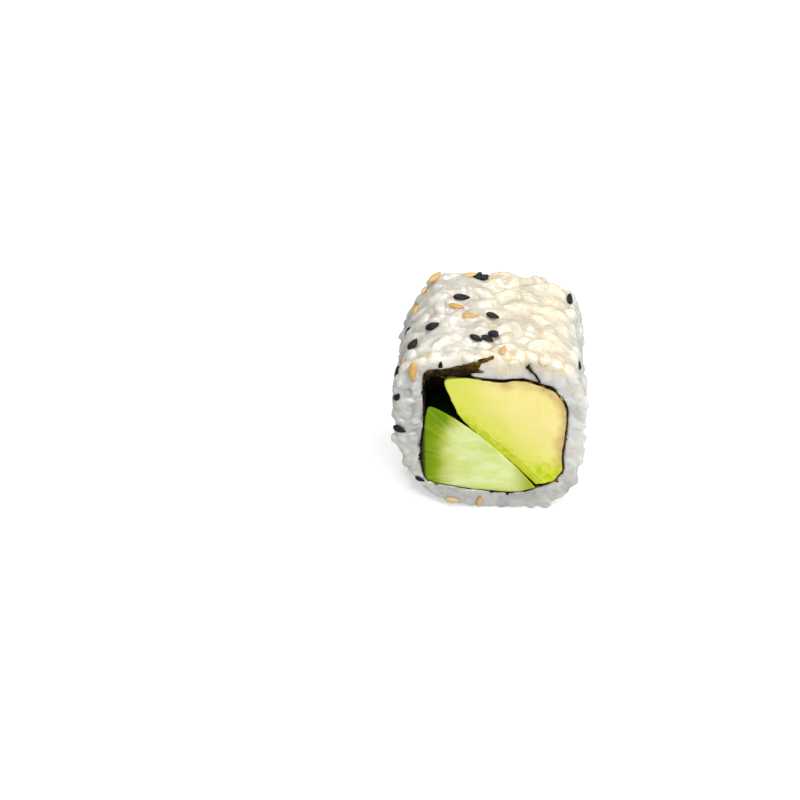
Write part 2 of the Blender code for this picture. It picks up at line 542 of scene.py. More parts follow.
@dataclass
class MottleGroup:
    """A node group that gives soft blotches and fine grit over a surface, in the piece's own space.

    Its mask is how strong the blotches are at a point, and its relief adds the grit to them.
    """

    name: str = "mottle"
    tree: bpy.types.NodeTree = field(init=False)

    def __post_init__(self) -> None:
        """Build the group once, for every material to place."""
        self.tree = bpy.data.node_groups.new(self.name, "ShaderNodeTree")
        sockets = self.tree.interface
        for name, start in (("Blotch Size", 3.0), ("Grit Size", 0.4), ("Low", 0.35), ("High", 0.65)):
            socket = sockets.new_socket(name, in_out="INPUT", socket_type="NodeSocketFloat")
            socket.default_value = start
        stretch = sockets.new_socket("Stretch", in_out="INPUT", socket_type="NodeSocketVector")
        stretch.default_value = (1.0, 1.0, 1.0)
        for name in ("Mask", "Grit", "Relief"):
            sockets.new_socket(name, in_out="OUTPUT", socket_type="NodeSocketFloat")
        board = NodeBoard(self.tree)
        given = self.tree.nodes.new("NodeGroupInput")
        result = self.tree.nodes.new("NodeGroupOutput")
        place = board.add("TexCoord").outputs["Object"]
        in_mm = self.vector_sum(board, "MULTIPLY", place, (1.0 / MM,) * 3)
        in_mm = self.vector_sum(board, "MULTIPLY", in_mm, given.outputs["Stretch"])
        blotch = self.noise(board, in_mm, given.outputs["Blotch Size"], detail=3.0)
        grit = self.noise(board, in_mm, given.outputs["Grit Size"], detail=2.0)
        mask = board.add("MapRange", clamp=True, interpolation_type="SMOOTHSTEP")
        board.feed(mask.inputs["Value"], blotch)
        board.feed(mask.inputs["From Min"], given.outputs["Low"])
        board.feed(mask.inputs["From Max"], given.outputs["High"])
        relief = board.maths("MULTIPLY", grit, 0.5)
        relief = board.maths("ADD", relief, board.maths("MULTIPLY", blotch, 0.5))
        board.feed(result.inputs["Mask"], mask.outputs["Result"])
        board.feed(result.inputs["Grit"], grit)
        board.feed(result.inputs["Relief"], relief)

    @staticmethod
    def vector_sum(board: NodeBoard, operation: str, first: object, second: object) -> bpy.types.NodeSocket:
        """The result of a sum on two vectors."""
        node = board.add("VectorMath", operation=operation)
        board.feed(node.inputs[0], first)
        board.feed(node.inputs[1], second)
        return node.outputs[0]

    @classmethod
    def noise(cls, board: NodeBoard, place: object, size: object, detail: float) -> bpy.types.NodeSocket:
        """Noise whose blobs are size wide at the place.

        Args:
            board: Where the nodes go.
            place: The socket of the place in millimetres.
            size: The socket of the blobs' width in millimetres.
            detail: How many finer layers the noise has.

        Returns:
            The noise's socket, from 0 to 1.
        """
        texture = board.add("TexNoise", noise_dimensions="3D")
        scale = board.add("Math", operation="DIVIDE")
        board.feed(scale.inputs[0], 1.0)
        board.feed(scale.inputs[1], size)
        board.feed(texture.inputs["Vector"], place)
        board.feed(texture.inputs["Scale"], scale.outputs[0])
        texture.inputs["Detail"].default_value = detail
        return texture.outputs["Fac"]


@dataclass(frozen=True)
class Finish:
    """What every finish of the slice has in common: a translucent body under a moist surface."""

    name: str
    glow: float  # how much light passes under the surface
    glow_depth: float  # how far it goes, in millimetres
    glow_colour: Colour  # how far each colour goes, against the deepest
    moisture: float  # the weight of the wet coat
    roughness: float = 0.4
    specular: float = 0.5

    def new_material(self) -> tuple[bpy.types.Material, NodeBoard, bpy.types.Node]:
        """Make the material with its plain numbers set.

        Returns:
            The material, the board of its nodes, and its surface shader.
        """
        material = bpy.data.materials.new(self.name)
        material.use_nodes = True
        board = NodeBoard(material.node_tree)
        shader = material.node_tree.nodes["Principled BSDF"]
        shader.subsurface_method = "RANDOM_WALK"
        shader.inputs["Subsurface Weight"].default_value = self.glow
        shader.inputs["Subsurface Scale"].default_value = self.glow_depth * MM
        shader.inputs["Subsurface Radius"].default_value = self.glow_colour
        shader.inputs["Roughness"].default_value = self.roughness
        shader.inputs["Specular IOR Level"].default_value = self.specular
        shader.inputs["Coat Weight"].default_value = self.moisture
        shader.inputs["Coat Roughness"].default_value = 0.05
        return material, board, shader

    @staticmethod
    def add_relief(board: NodeBoard, shader: bpy.types.Node, height: object, depth: float) -> None:
        """Raise the surface by height, from 0 to 1, times depth in millimetres.

        Args:
            board: Where the nodes go.
            shader: The surface shader.
            height: The socket of the height.
            depth: How many millimetres a height of 1 is.
        """
        bump = board.add("Bump")
        bump.inputs["Strength"].default_value = 1.0
        bump.inputs["Distance"].default_value = depth * MM
        board.feed(bump.inputs["Height"], height)
        board.feed(shader.inputs["Normal"], bump.outputs["Normal"])


@dataclass(frozen=True)
class RiceFinish(Finish):
    """Moist white rice: translucent grains with painted shade in the creases and painted light and shade by place, with
    strands of starchy film.
    """

    # The tone runs from body to the light colours; it holds each grain's own tone and painted light and shade, so body
    # is partly painted shade.
    body: Colour = (0.42, 0.425, 0.41)
    # clean and pale: the light end of the tone, cool, and cream where warm light is painted.
    clean: Colour = (0.80, 0.80, 0.75)
    pale: Colour = (0.86, 0.79, 0.64)
    # shade and warm_shade: painted shade in the creases, grey, and warm where the rice is warm.
    shade: Colour = (0.48, 0.47, 0.43)
    warm_shade: Colour = (0.80, 0.68, 0.44)
    starch: Colour = (0.74, 0.55, 0.25)

    def material(self, mottle: MottleGroup) -> bpy.types.Material:
        """Make the material, which reads from the mesh each grain's tone, with painted light and shade in it, and the
        creases, where it paints shade.
        """
        material, board, shader = self.new_material()
        soft = board.group(mottle.tree, Blotch_Size=2.4, Grit_Size=0.65, Low=0.40, High=0.62)
        # The light end of the tone is cream where warm light is painted and cooler elsewhere.
        light = board.mix(board.attribute("warm"), self.clean, self.pale)
        # The tone mixes each grain's own tone with painted light and shade.
        grain = board.mix(board.attribute("tone"), self.body, light)
        grain = board.mix(board.maths("MULTIPLY", soft.outputs["Mask"], 0.15), grain, light)
        # Painted shade in the creases and the gaps between grains, grey in cool places and warm in warm ones.
        edge = board.attribute("crease")
        deep = board.mix(board.attribute("warm"), self.shade, self.warm_shade)
        grain = board.mix(board.maths("MULTIPLY", edge, 0.4), grain, deep)
        fleck = board.group(mottle.tree, Blotch_Size=1.5, Grit_Size=0.2, Low=0.44, High=0.62)
        narrow = board.maths("POWER", edge, 3.0)
        starchy = board.maths("MULTIPLY", fleck.outputs["Mask"], narrow)
        starchy = board.maths("MULTIPLY", starchy, board.attribute("warm"))
        grain = board.mix(starchy, grain, self.starch)
        film = board.group(mottle.tree, Blotch_Size=3.5, Grit_Size=1.7, Low=0.42, High=0.56)
        above = board.maths("SUBTRACT", film.outputs["Grit"], 0.5)
        away = board.maths("ADD", above, board.maths("SUBTRACT", 0.5, film.outputs["Grit"]))
        strand = board.maths("SUBTRACT", 1.0, board.maths("MULTIPLY", away, 16.0))
        strand = board.maths("MULTIPLY", strand, film.outputs["Mask"])
        strand = board.maths("MULTIPLY", strand, board.attribute("warm"))
        grain = board.mix(board.maths("MULTIPLY", strand, 0.55), grain, self.starch)
        board.feed(shader.inputs["Base Color"], grain)
        rough = board.maths("MULTIPLY", soft.outputs["Grit"], 0.24)
        board.feed(shader.inputs["Roughness"], board.maths("ADD", rough, 0.08))
        self.add_relief(board, shader, soft.outputs["Relief"], 0.30)
        return material


@dataclass(frozen=True)
class NoriFinish(Finish):
    """Moist nori: near black, olive and brown where it is torn thin."""

    dark: Colour = (0.0025, 0.0025, 0.0018)
    olive: Colour = (0.016, 0.017, 0.004)
    brown: Colour = (0.018, 0.006, 0.001)
    thin: Colour = (0.20, 0.125, 0.004)

    def material(self, mottle: MottleGroup) -> bpy.types.Material:
        """Make the material, which reads from the mesh how thin the sheet is."""
        material, board, shader = self.new_material()
        soft = board.group(mottle.tree, Blotch_Size=1.6, Grit_Size=0.35, Low=0.42, High=0.66)
        colour = board.mix(board.maths("MULTIPLY", soft.outputs["Mask"], 0.6), self.dark, self.olive)
        worn = board.group(mottle.tree, Blotch_Size=1.7, Grit_Size=0.3, Low=0.40, High=0.66)
        share = board.attribute("thin")
        colour = board.mix(board.maths("MULTIPLY", share, 1.4), colour, self.brown)
        thin = board.maths("MULTIPLY", board.maths("POWER", share, 2.2), worn.outputs["Mask"])
        colour = board.mix(thin, colour, self.thin)
        board.feed(shader.inputs["Base Color"], colour)
        self.add_relief(board, shader, soft.outputs["Relief"], 0.25)
        return material


@dataclass(frozen=True)
class AvocadoFinish(Finish):
    """Ripe avocado flesh: cream towards the stone, lime under the skin, browned at its rim."""

    cream: Colour = (0.94, 0.80, 0.32)
    lime: Colour = (0.70, 0.74, 0.09)
    vivid: Colour = (0.63, 0.71, 0.0)
    browned: Colour = (0.54, 0.33, 0.13)
    shadow: Colour = (0.40, 0.48, 0.001)
    highlight: Colour = (0.90, 0.93, 0.32)

    def material(self, mottle: MottleGroup) -> bpy.types.Material:
        """Make the material, which reads from the mesh how near the skin and the rim a point is."""
        material, board, shader = self.new_material()
        soft = board.group(mottle.tree, Blotch_Size=4.0, Grit_Size=0.5, Low=0.38, High=0.64)
        streak = board.group(
            mottle.tree, Blotch_Size=0.9, Grit_Size=0.3, Low=0.42, High=0.66, Stretch=(0.7, 0.4, 0.7)
        )
        colour = board.mix(board.attribute("lime"), self.cream, self.lime)
        colour = board.mix(board.maths("MULTIPLY", streak.outputs["Mask"], 0.12), colour, self.lime)
        colour = board.mix(board.maths("MULTIPLY", soft.outputs["Mask"], 0.16), colour, self.lime)
        grainy = board.maths("ADD", board.maths("MULTIPLY", streak.outputs["Mask"], 0.5), 0.5)
        vivid = board.maths("MULTIPLY", board.attribute("vivid"), grainy)
        colour = board.mix(vivid, colour, self.vivid)
        dark = board.maths("MULTIPLY", board.attribute("vivid"), streak.outputs["Mask"])
        colour = board.mix(board.maths("MULTIPLY", dark, 0.45), colour, self.shadow)
        colour = board.mix(board.attribute("line"), colour, self.shadow)
        colour = board.mix(board.attribute("light"), colour, self.highlight)
        patchy = board.maths("ADD", board.maths("MULTIPLY", soft.outputs["Mask"], 0.5), 0.5)
        browned = board.maths("MULTIPLY", board.attribute("browned"), patchy)
        colour = board.mix(browned, colour, self.browned)
        board.feed(shader.inputs["Base Color"], colour)
        self.add_relief(board, shader, streak.outputs["Relief"], 0.08)
        return material


@dataclass(frozen=True)
class CucumberFinish(Finish):
    """Wet cucumber: dark green at the skin, pale in the middle, with fibres running outwards."""

    skin: Colour = (0.002, 0.004, 0.0)
    deep: Colour = (0.08, 0.18, 0.0)
    green: Colour = (0.20, 0.34, 0.0)
    young: Colour = (0.38, 0.43, 0.0)
    pale: Colour = (0.68, 0.77, 0.23)
    white: Colour = (0.82, 0.88, 0.50)
    heart: tuple[float, float, float] = (1.0, 0.0, 9.5)

    def material(self, mottle: MottleGroup) -> bpy.types.Material:
        """Make the material, which reads from the mesh how near the skin a point is."""
        material, board, shader = self.new_material()
        soft = board.group(
            mottle.tree, Blotch_Size=2.2, Grit_Size=0.5, Low=0.30, High=0.70, Stretch=(0.45, 0.6, 1.1)
        )
        place = board.add("TexCoord").outputs["Object"]
        heart = tuple(value * MM for value in self.heart)
        from_heart = MottleGroup.vector_sum(board, "SUBTRACT", place, heart)
        flat = MottleGroup.vector_sum(board, "MULTIPLY", from_heart, (1.0, 0.0, 1.0))
        outwards = board.add("VectorMath", operation="NORMALIZE")
        board.feed(outwards.inputs[0], flat)
        fibre = board.add("TexNoise", noise_dimensions="3D")
        fibre.inputs["Scale"].default_value = 34.0
        fibre.inputs["Detail"].default_value = 3.0
        board.feed(fibre.inputs["Vector"], outwards.outputs[0])
        fibres = board.add("MapRange", clamp=True, interpolation_type="SMOOTHSTEP")
        board.feed(fibres.inputs["Value"], fibre.outputs["Fac"])
        fibres.inputs["From Min"].default_value = 0.30
        fibres.inputs["From Max"].default_value = 0.74
        streaked = board.maths("ADD", board.maths("MULTIPLY", fibres.outputs["Result"], 0.12), 0.92)
        edge = board.maths("MULTIPLY", board.attribute("green"), streaked)
        faint = board.maths("MULTIPLY", board.attribute("streak"), 0.14)
        edge = board.maths("ADD", edge, board.maths("MULTIPLY", fibres.outputs["Result"], faint))
        green = board.mix(board.maths("MULTIPLY", fibres.outputs["Result"], 0.5), self.green, self.deep)
        green = board.mix(board.attribute("deep"), self.young, green)
        centre = board.mix(board.maths("MULTIPLY", soft.outputs["Mask"], 0.75), self.pale, self.white)
        colour = board.mix(edge, centre, green)
        colour = board.mix(board.attribute("skin"), colour, self.skin)
        board.feed(shader.inputs["Base Color"], colour)
        raised = board.maths("MULTIPLY", fibres.outputs["Result"], board.attribute("streak"))
        self.add_relief(board, shader, raised, 0.05)
        return material


@dataclass(frozen=True)
class SeedFinish(Finish):
    """A sesame seed's hull: one colour with a darker tip and a faint grain."""

    hull: Colour = (0.5, 0.3, 0.1)
    lit: Colour = (0.6, 0.4, 0.2)
    tip: Colour = (0.2, 0.1, 0.03)

    def material(self, mottle: MottleGroup) -> bpy.types.Material:
        """Make the material, which reads from the mesh each seed's tone and how near its tip a point is."""
        material, board, shader = self.new_material()
        soft = board.group(mottle.tree, Blotch_Size=0.8, Grit_Size=0.15, Low=0.40, High=0.65)
        colour = board.mix(board.attribute("tone"), self.hull, self.lit)
        colour = board.mix(board.maths("MULTIPLY", soft.outputs["Mask"], 0.3), colour, self.lit)
        colour = board.mix(board.attribute("tip"), colour, self.tip)
        board.feed(shader.inputs["Base Color"], colour)
        self.add_relief(board, shader, soft.outputs["Relief"], 0.05)
        return material


# ---------------------------------------------------------------------------------------------------
# Rice
# ---------------------------------------------------------------------------------------------------


@dataclass
class Grains:
    """Many grains at once: where each lies, how it is turned, and its three half lengths."""

    centre: Array
    axes: Array  # one 3 by 3 matrix a grain, whose rows are its long, wide and thin directions
    half: Array

    ROUND = 8
    RINGS = 5

    def joined(self, other: "Grains") -> "Grains":
        """These grains and others together."""
        pairs = ((self.centre, other.centre), (self.axes, other.axes), (self.half, other.half))
        return Grains(*(np.concatenate(pair) for pair in pairs))

    def surface(self) -> tuple[Array, Array, Array]:
        """The surfaces of all the grains, as one mesh of loose shapes.

        A grain is a ball stretched to its three half lengths. Along its length, at cos(a) of the half
        length, it is sin(a)^0.7 as thick as in its middle, and it bends towards its thin side with the
        square of the distance from its middle.

        Returns:
            The points, the quads and the triangles.
        """
        bluntness, bend = 0.7, 0.22
        a = (np.arange(self.RINGS) + 1.0) / (self.RINGS + 1.0) * math.pi
        b = np.arange(self.ROUND) / self.ROUND * FULL_TURN
        thick = np.sin(a) ** bluntness
        ring = np.stack(
            [
                np.broadcast_to(np.cos(a)[:, None], (self.RINGS, self.ROUND)),
                thick[:, None] * np.cos(b),
                thick[:, None] * np.sin(b),
            ],
            axis=-1,
        ).reshape(-1, 3)
        unit = np.concatenate([ring, [[1.0, 0.0, 0.0], [-1.0, 0.0, 0.0]]])
        unit[:, 2] -= bend * (unit[:, 0] ** 2 - 0.4)
        local = unit[None] * self.half[:, None]
        points = self.centre[:, None] + np.einsum("gpk,gkx->gpx", local, self.axes)
        each = len(unit)
        quads = grid_quads(self.RINGS, self.ROUND, close_rows=False, close_columns=True)
        fans = [
            pole_triangles(each - 2, 0, self.ROUND),
            pole_triangles(each - 1, (self.RINGS - 1) * self.ROUND, self.ROUND)[:, ::-1],
        ]
        shift = (np.arange(len(self.centre)) * each)[:, None, None]
        all_quads = (quads[None] + shift).reshape(-1, 4)
        all_fans = (np.concatenate(fans)[None] + shift).reshape(-1, 3)
        return points.reshape(-1, 3), all_quads, all_fans


def turned_frames(normal: Array, along: Array, spin: Array, tilt: Array) -> Array:
    """The directions of things that lie on a surface.

    The long direction is along, turned by spin about the normal and lifted by tilt towards it. The thin
    direction is the normal lowered by the same tilt, and the wide one is at right angles to both.

    Args:
        normal: The surface's normals, one a row.
        along: A direction in the surface for each, one a row.
        spin: How far each is turned in the surface.
        tilt: How far each is lifted out of it.

    Returns:
        One 3 by 3 matrix for each, whose rows are the long, wide and thin directions.
    """
    side = np.cross(normal, along)
    flat = np.cos(spin)[:, None] * along + np.sin(spin)[:, None] * side
    long = np.cos(tilt)[:, None] * flat + np.sin(tilt)[:, None] * normal
    thin = np.cos(tilt)[:, None] * normal - np.sin(tilt)[:, None] * flat
    return np.stack([long, np.cross(thin, long), thin], axis=1)


@dataclass(frozen=True)
class Trench:
    """A line on the front face that the rice keeps clear of, for a scrap of nori to lie in."""

    line: tuple[tuple[float, float], ...]
    clear: float  # how far from the line the rice stays, in the face
    depth: float  # how far behind the face it stays there


@dataclass(frozen=True)
class Dip:
    """A stretch of the rice's outline, round one turn, that stays inside the plain outline."""

    turn: float  # where it is deepest, in degrees
    sharpness: int  # the power of the cosine it follows away from there
    front: float  # how deep it is at the front face; below 0 it stands out instead
    back: float  # and from the middle to the back


@dataclass
class RiceWall:
    """The wall of sticky rice: fused grains over a smaller core."""

    shape: RollShape
    trenches: tuple[Trench, ...] = ()
    dips: tuple[Dip, ...] = (
        Dip(152.0, 8, 0.4, 1.4),
        Dip(120.0, 24, 0.0, -1.8),
        Dip(55.0, 30, 0.0, 0.5),
        Dip(203.0, 8, 0.5, 0.5),
        Dip(-14.0, 12, 0.8, 0.8),
        Dip(-50.0, 20, -0.6, -0.4),
        Dip(232.0, 24, -0.5, 0.0),
    )
    side_grains: int = 240
    face_grains: int = 75
    rim_grains: int = 9  # the row of grains that hangs over the upper front edge
    shortest: tuple[float, float, float] = (4.2, 2.6, 2.3)  # a grain's length, width and thickness
    longest: tuple[float, float, float] = (7.4, 3.5, 2.9)
    core_depth: float = 0.6  # how far under the outer outline the core lies
    proudest: float = 0.8  # how far a grain can stand out of the outline, less the pressing
    face_depth: float = 0.3  # how far behind a cut face the core lies
    voxel: float = 0.2
    faces: int = 186000  # how many triangles the fused wall keeps
    seed: int = 11

    def __post_init__(self) -> None:
        """Set up the draws and the inner boundary."""
        self.rng = np.random.default_rng(self.seed)
        self.noise = Noise(self.seed)
        self.grains: Grains | None = None
        self.room = self.room_outline()

    def room_outline(self) -> tuple[Array, Array]:
        """The outline that rice keeps out of: the nori's outer face, the outermost where it lies double.

        Returns:
            Even turns once round, and the outline's distance from the middle line at each.
        """
        loop = smooth_line(np.array(self.shape.nori_round), 300, closed=True)
        outer = loop + sideways_of(loop, closed=True) * 0.22
        turn = np.arctan2(outer[:, 1] - self.shape.middle, outer[:, 0]) % FULL_TURN
        steps = 720
        step = (turn / FULL_TURN * steps).astype(int) % steps
        furthest = np.zeros(steps)
        np.maximum.at(furthest, step, np.hypot(outer[:, 0], outer[:, 1] - self.shape.middle))
        even = (np.arange(steps) + 0.5) / steps * FULL_TURN
        return even[furthest > 0.0], furthest[furthest > 0.0]

    def room_reach(self, turn: Array, y: Array) -> Array:
        """How far out the room for the nori goes at these turns and places, pinched towards the back."""
        reach = np.interp(turn % FULL_TURN, *self.room, period=FULL_TURN)
        near = np.maximum(0.0, np.cos(turn - self.shape.pinch_turn)) ** self.shape.pinch_sharpness
        return reach * (1.0 - self.shape.pinch * near * (y / self.shape.depth + 0.5))

    def slack(self, turn: Array, y: Array) -> Array:
        """How far inside the plain outline the rice stays: the sum of its dips.

        Args:
            turn: The turns.
            y: The places along the slice.

        Returns:
            The depths, each a dip's depth times the power of the cosine of the turn from its middle.
        """
        towards_back = smoothstep(-14.0, 6.0, y)
        total = np.zeros(np.broadcast(turn, y).shape)
        for dip in self.dips:
            near = np.maximum(0.0, np.cos(turn - math.radians(dip.turn))) ** dip.sharpness
            total = total + near * (dip.front + (dip.back - dip.front) * towards_back)
        return total

    def outer_frames(self, turn: Array, y: Array) -> tuple[Array, Array, Array]:
        """The outer outline's points and directions.

        Args:
            turn: The turns.
            y: The places along the slice.

        Returns:
            The points, the outward normals, and the directions round the slice.
        """
        step = 0.01
        here = self.shape.placed(turn, self.shape.rice_reach(turn, y), y)
        ahead = self.shape.placed(turn + step, self.shape.rice_reach(turn + step, y), y)
        behind = self.shape.placed(turn - step, self.shape.rice_reach(turn - step, y), y)
        about = ahead - behind
        about /= np.linalg.norm(about, axis=1, keepdims=True)
        normal = np.cross(about, np.array([0.0, 1.0, 0.0]))
        normal *= np.sign((normal * (here - [0.0, 0.0, self.shape.middle])).sum(axis=1, keepdims=True))
        normal[:, 1] = 0.0
        return here, normal / np.linalg.norm(normal, axis=1, keepdims=True), about

    def half_sizes(self, count: int) -> Array:
        """The half lengths of so many grains, each drawn between the shortest and the longest."""
        low, high = np.array(self.shortest), np.array(self.longest)
        return (low + (high - low) * self.rng.random((count, 3))) / 2.0

    def lay_side(self) -> Grains:
        """Grains that lie along the outer outline, in every direction, some lifted a little."""
        around = FULL_TURN * (self.shape.width + self.shape.height) / 4.0
        half_depth = self.shape.depth / 2.0
        low, high = np.array([0.0, -half_depth + 0.7]), np.array([around, half_depth - 0.7])
        spots = spread(self.side_grains, low, high, self.rng, wrap_first=True)
        # Even steps round the outline become turns through the distance gone along it.
        fine = np.linspace(0.0, FULL_TURN, 721)
        ring = self.shape.placed(fine, self.shape.rice_reach(fine, 0.0), 0.0)
        gone = np.concatenate([[0.0], np.cumsum(np.linalg.norm(np.diff(ring, axis=0), axis=1))])
        turn = np.interp(spots[:, 0] / around * gone[-1], gone, fine)
        here, normal, about = self.outer_frames(turn, spots[:, 1])
        count = self.side_grains
        half = self.half_sizes(count)
        spin = self.rng.random(count) * FULL_TURN
        tilt = self.rng.normal(size=count) * math.radians(11.0)
        sink = half[:, 2] - 0.15 + np.clip(self.rng.normal(size=count) * 0.34, -0.45, 0.8)
        sink += 0.4 * self.noise.at(here, 7.0) + self.slack(turn, here[:, 1])
        return Grains(here - normal * sink[:, None], turned_frames(normal, about, spin, tilt), half)

    def lay_face(self, side: float) -> Grains:
        """Grains that end in a cut face, turned any way, cut where they pass it.

        Args:
            side: -1 for the front face and 1 for the back.

        Returns:
            The grains.
        """
        face = side * self.shape.depth / 2.0
        tries = 5 * self.face_grains
        half_wide, half_high = self.shape.width / 2.0, self.shape.height / 2.0
        spots = spread(tries, np.array([-half_wide, -half_high]), np.array([half_wide, half_high]), self.rng)
        turn = np.arctan2(spots[:, 1], spots[:, 0])
        reach = np.hypot(spots[:, 0], spots[:, 1])
        margin = np.where(np.sin(turn) > 0.6, 2.4, 0.9)
        fits = reach > self.room_reach(turn, face) + 0.7
        fits &= reach < self.shape.rice_reach(turn, face) - margin
        turn, reach = turn[fits][: self.face_grains], reach[fits][: self.face_grains]
        count = len(turn)
        half = self.half_sizes(count)
        depth = face - side * (0.7 + 0.5 * self.rng.random(count))
        centre = self.shape.placed(turn, reach, depth)
        axes = np.linalg.qr(self.rng.normal(size=(count, 3, 3)))[0]
        axes[:, 2] = np.cross(axes[:, 0], axes[:, 1])
        return Grains(centre, axes, half)

    def lay_rim(self) -> Grains:
        """A row of grains along the upper front edge, which lean out over the cut face."""
        count = self.rim_grains
        x = np.linspace(-15.5, 16.5, count) + self.rng.normal(size=count) * 0.5
        turn = np.arctan2(self.shape.middle, x)
        for _ in range(4):
            # The outline's point above x: its turn is refined from its own distance.
            reach = self.shape.rice_reach(turn, np.full(count, -self.shape.depth / 2.0))
            turn = np.arccos(np.clip(x / reach, -1.0, 1.0))
        half = self.half_sizes(count) * np.array([1.05, 1.1, 1.05])
        y = np.full(count, -self.shape.depth / 2.0) + 0.95 + self.rng.random(count) * 0.5
        centre = self.shape.placed(turn, reach - self.slack(turn, y) - 1.25 - 0.4 * self.rng.random(count), y)
        out = np.stack([np.cos(turn) * 0.7, np.full(count, -0.72), np.sin(turn) * 0.7], axis=1)
        out /= np.linalg.norm(out, axis=1, keepdims=True)
        about = np.cross(out, np.array([0.0, -1.0, 0.0]))
        about /= np.linalg.norm(about, axis=1, keepdims=True)
        spin = self.rng.normal(size=count) * math.radians(28.0)
        return Grains(centre, turned_frames(out, about, spin, self.rng.normal(size=count) * 0.12), half)

    def roughened(self, points: Array, normals: Array) -> Array:
        """The points moved a little every way by noise, so that no grain is a perfect ball.

        They also move along their normals, in where a finer noise is far from 0, which leaves little
        ridges. All of it fades out towards the room for the nori and towards the board.

        Args:
            points: The points, one a row.
            normals: Their unit normals, one a row.

        Returns:
            The moved points, one a row.
        """
        turn, reach = self.shape.turn_and_reach(points)
        free = smoothstep(0.2, 1.0, reach - self.room_reach(turn, points[:, 1]))
        free *= smoothstep(0.0, 0.5, points[:, 2])
        shift = [
            self.noise.at(points + 31.0 * k, 2.4) * 0.22 + self.noise.at(points - 17.0 * k, 1.1) * 0.05
            for k in range(3)
        ]
        ridged = 0.07 - 0.26 * np.abs(self.noise.at(points + 90.0, 1.6))
        return points + (np.stack(shift, axis=1) + normals * ridged[:, None]) * free[:, None]

    def settled(self, points: Array) -> Array:
        """The points as the knife, the nori and the board leave them.

        What passes a cut face is pressed back to a share of how far it passed, and less so at the upper
        front edge and the left, where grains stay round. What comes inside the room for the nori is
        pushed out to its edge, and what goes below the board is pushed up to it.

        Args:
            points: The points, one a row.

        Returns:
            The settled points, one a row.
        """
        points = points.copy()
        half_depth = self.shape.depth / 2.0 - 0.3 + 0.25 * self.noise.at(points, 3.2)
        turn, reach = self.shape.turn_and_reach(points)
        room = self.room_reach(turn, points[:, 1])
        out = np.maximum(reach, room)
        pressed = self.shape.rice_reach(turn, points[:, 1]) - self.slack(turn, points[:, 1]) - 0.1
        over = np.maximum(out - pressed, 0.0)
        out = np.minimum(out, pressed) + self.proudest * (1.0 - np.exp(-over / self.proudest))
        points = self.shape.placed(turn, out, points[:, 1])
        rounder = 0.07 + 0.33 * smoothstep(-12.0, -15.0, points[:, 0])
        rounder += 0.35 * smoothstep(34.0, 36.0, points[:, 2])
        past = np.abs(points[:, 1]) - half_depth
        kept = half_depth + np.maximum(past, 0.0) * np.where(points[:, 1] < 0.0, rounder, 0.3)
        points[:, 1] = np.where(past > 0.0, np.sign(points[:, 1]) * kept, points[:, 1])
        above = np.maximum(points[:, 2] - self.shape.height + 0.1, 0.0)
        points[:, 2] += self.proudest * (1.0 - np.exp(-above / self.proudest)) - above
        points[:, 2] = np.maximum(points[:, 2], 0.0)
        front = -self.shape.depth / 2.0
        close = np.nonzero((points[:, 1] < front + 2.0) & (points[:, 2] > 28.0))[0]
        for trench in self.trenches:
            away = distance_to_line(points[close][:, [0, 2]], np.array(trench.line))
            floor = front + trench.depth * smoothstep(trench.clear * 1.3, trench.clear * 0.7, away)
            inside = away < trench.clear * 1.3
            points[close, 1] = np.where(inside, np.maximum(points[close, 1], floor), points[close, 1])
        return points

    def core_surface(self) -> tuple[Array, Array]:
        """The core: a ring whose section is a rectangle carried round the outlines, roughened by noise.

        A section goes out along the front face, back along the outer side, in along the back face and
        forward along the room for the nori, in even steps.

        Returns:
            The points and the quads.
        """
        turns, deep, wide = 300, 34, 7
        turn = np.arange(turns)[:, None] / turns * FULL_TURN
        half = self.shape.depth / 2.0 - self.face_depth
        run = np.linspace(-half, half, deep)
        across = np.linspace(0.0, 1.0, wide)
        y = np.concatenate([np.full(wide, -half), run[1:-1], np.full(wide, half), run[1:-1][::-1]])
        share = np.concatenate([across, np.ones(deep - 2), across[::-1], np.zeros(deep - 2)])
        inner = self.room_reach(turn, y[None])
        outer = self.shape.rice_reach(turn, y[None]) - self.slack(turn, y[None]) - self.core_depth
        reach = inner + (np.maximum(outer, inner + 0.5) - inner) * share[None]
        points = self.shape.placed(turn, reach, np.broadcast_to(y, reach.shape))
        rough = self.noise.at(points, 2.6) * 0.4 + self.noise.at(points, 7.0) * 0.45
        reach = reach + np.minimum(rough, self.core_depth - 0.15) * share[None]
        left_wall = 0.7 * smoothstep(-13.5, -15.5, points[..., 0]) * (y[None] < 0.0)
        inwards = left_wall + self.noise.at(points + 50.0, 2.6) * 0.3
        y_moved = y[None] - np.sign(y[None]) * inwards * (np.abs(y[None]) > half - 0.01)
        points = self.shape.placed(turn, reach, y_moved)
        points[..., 2] = np.maximum(points[..., 2], 0.0)
        quads = grid_quads(turns, len(y), close_rows=True, close_columns=True)
        return points.reshape(-1, 3), quads

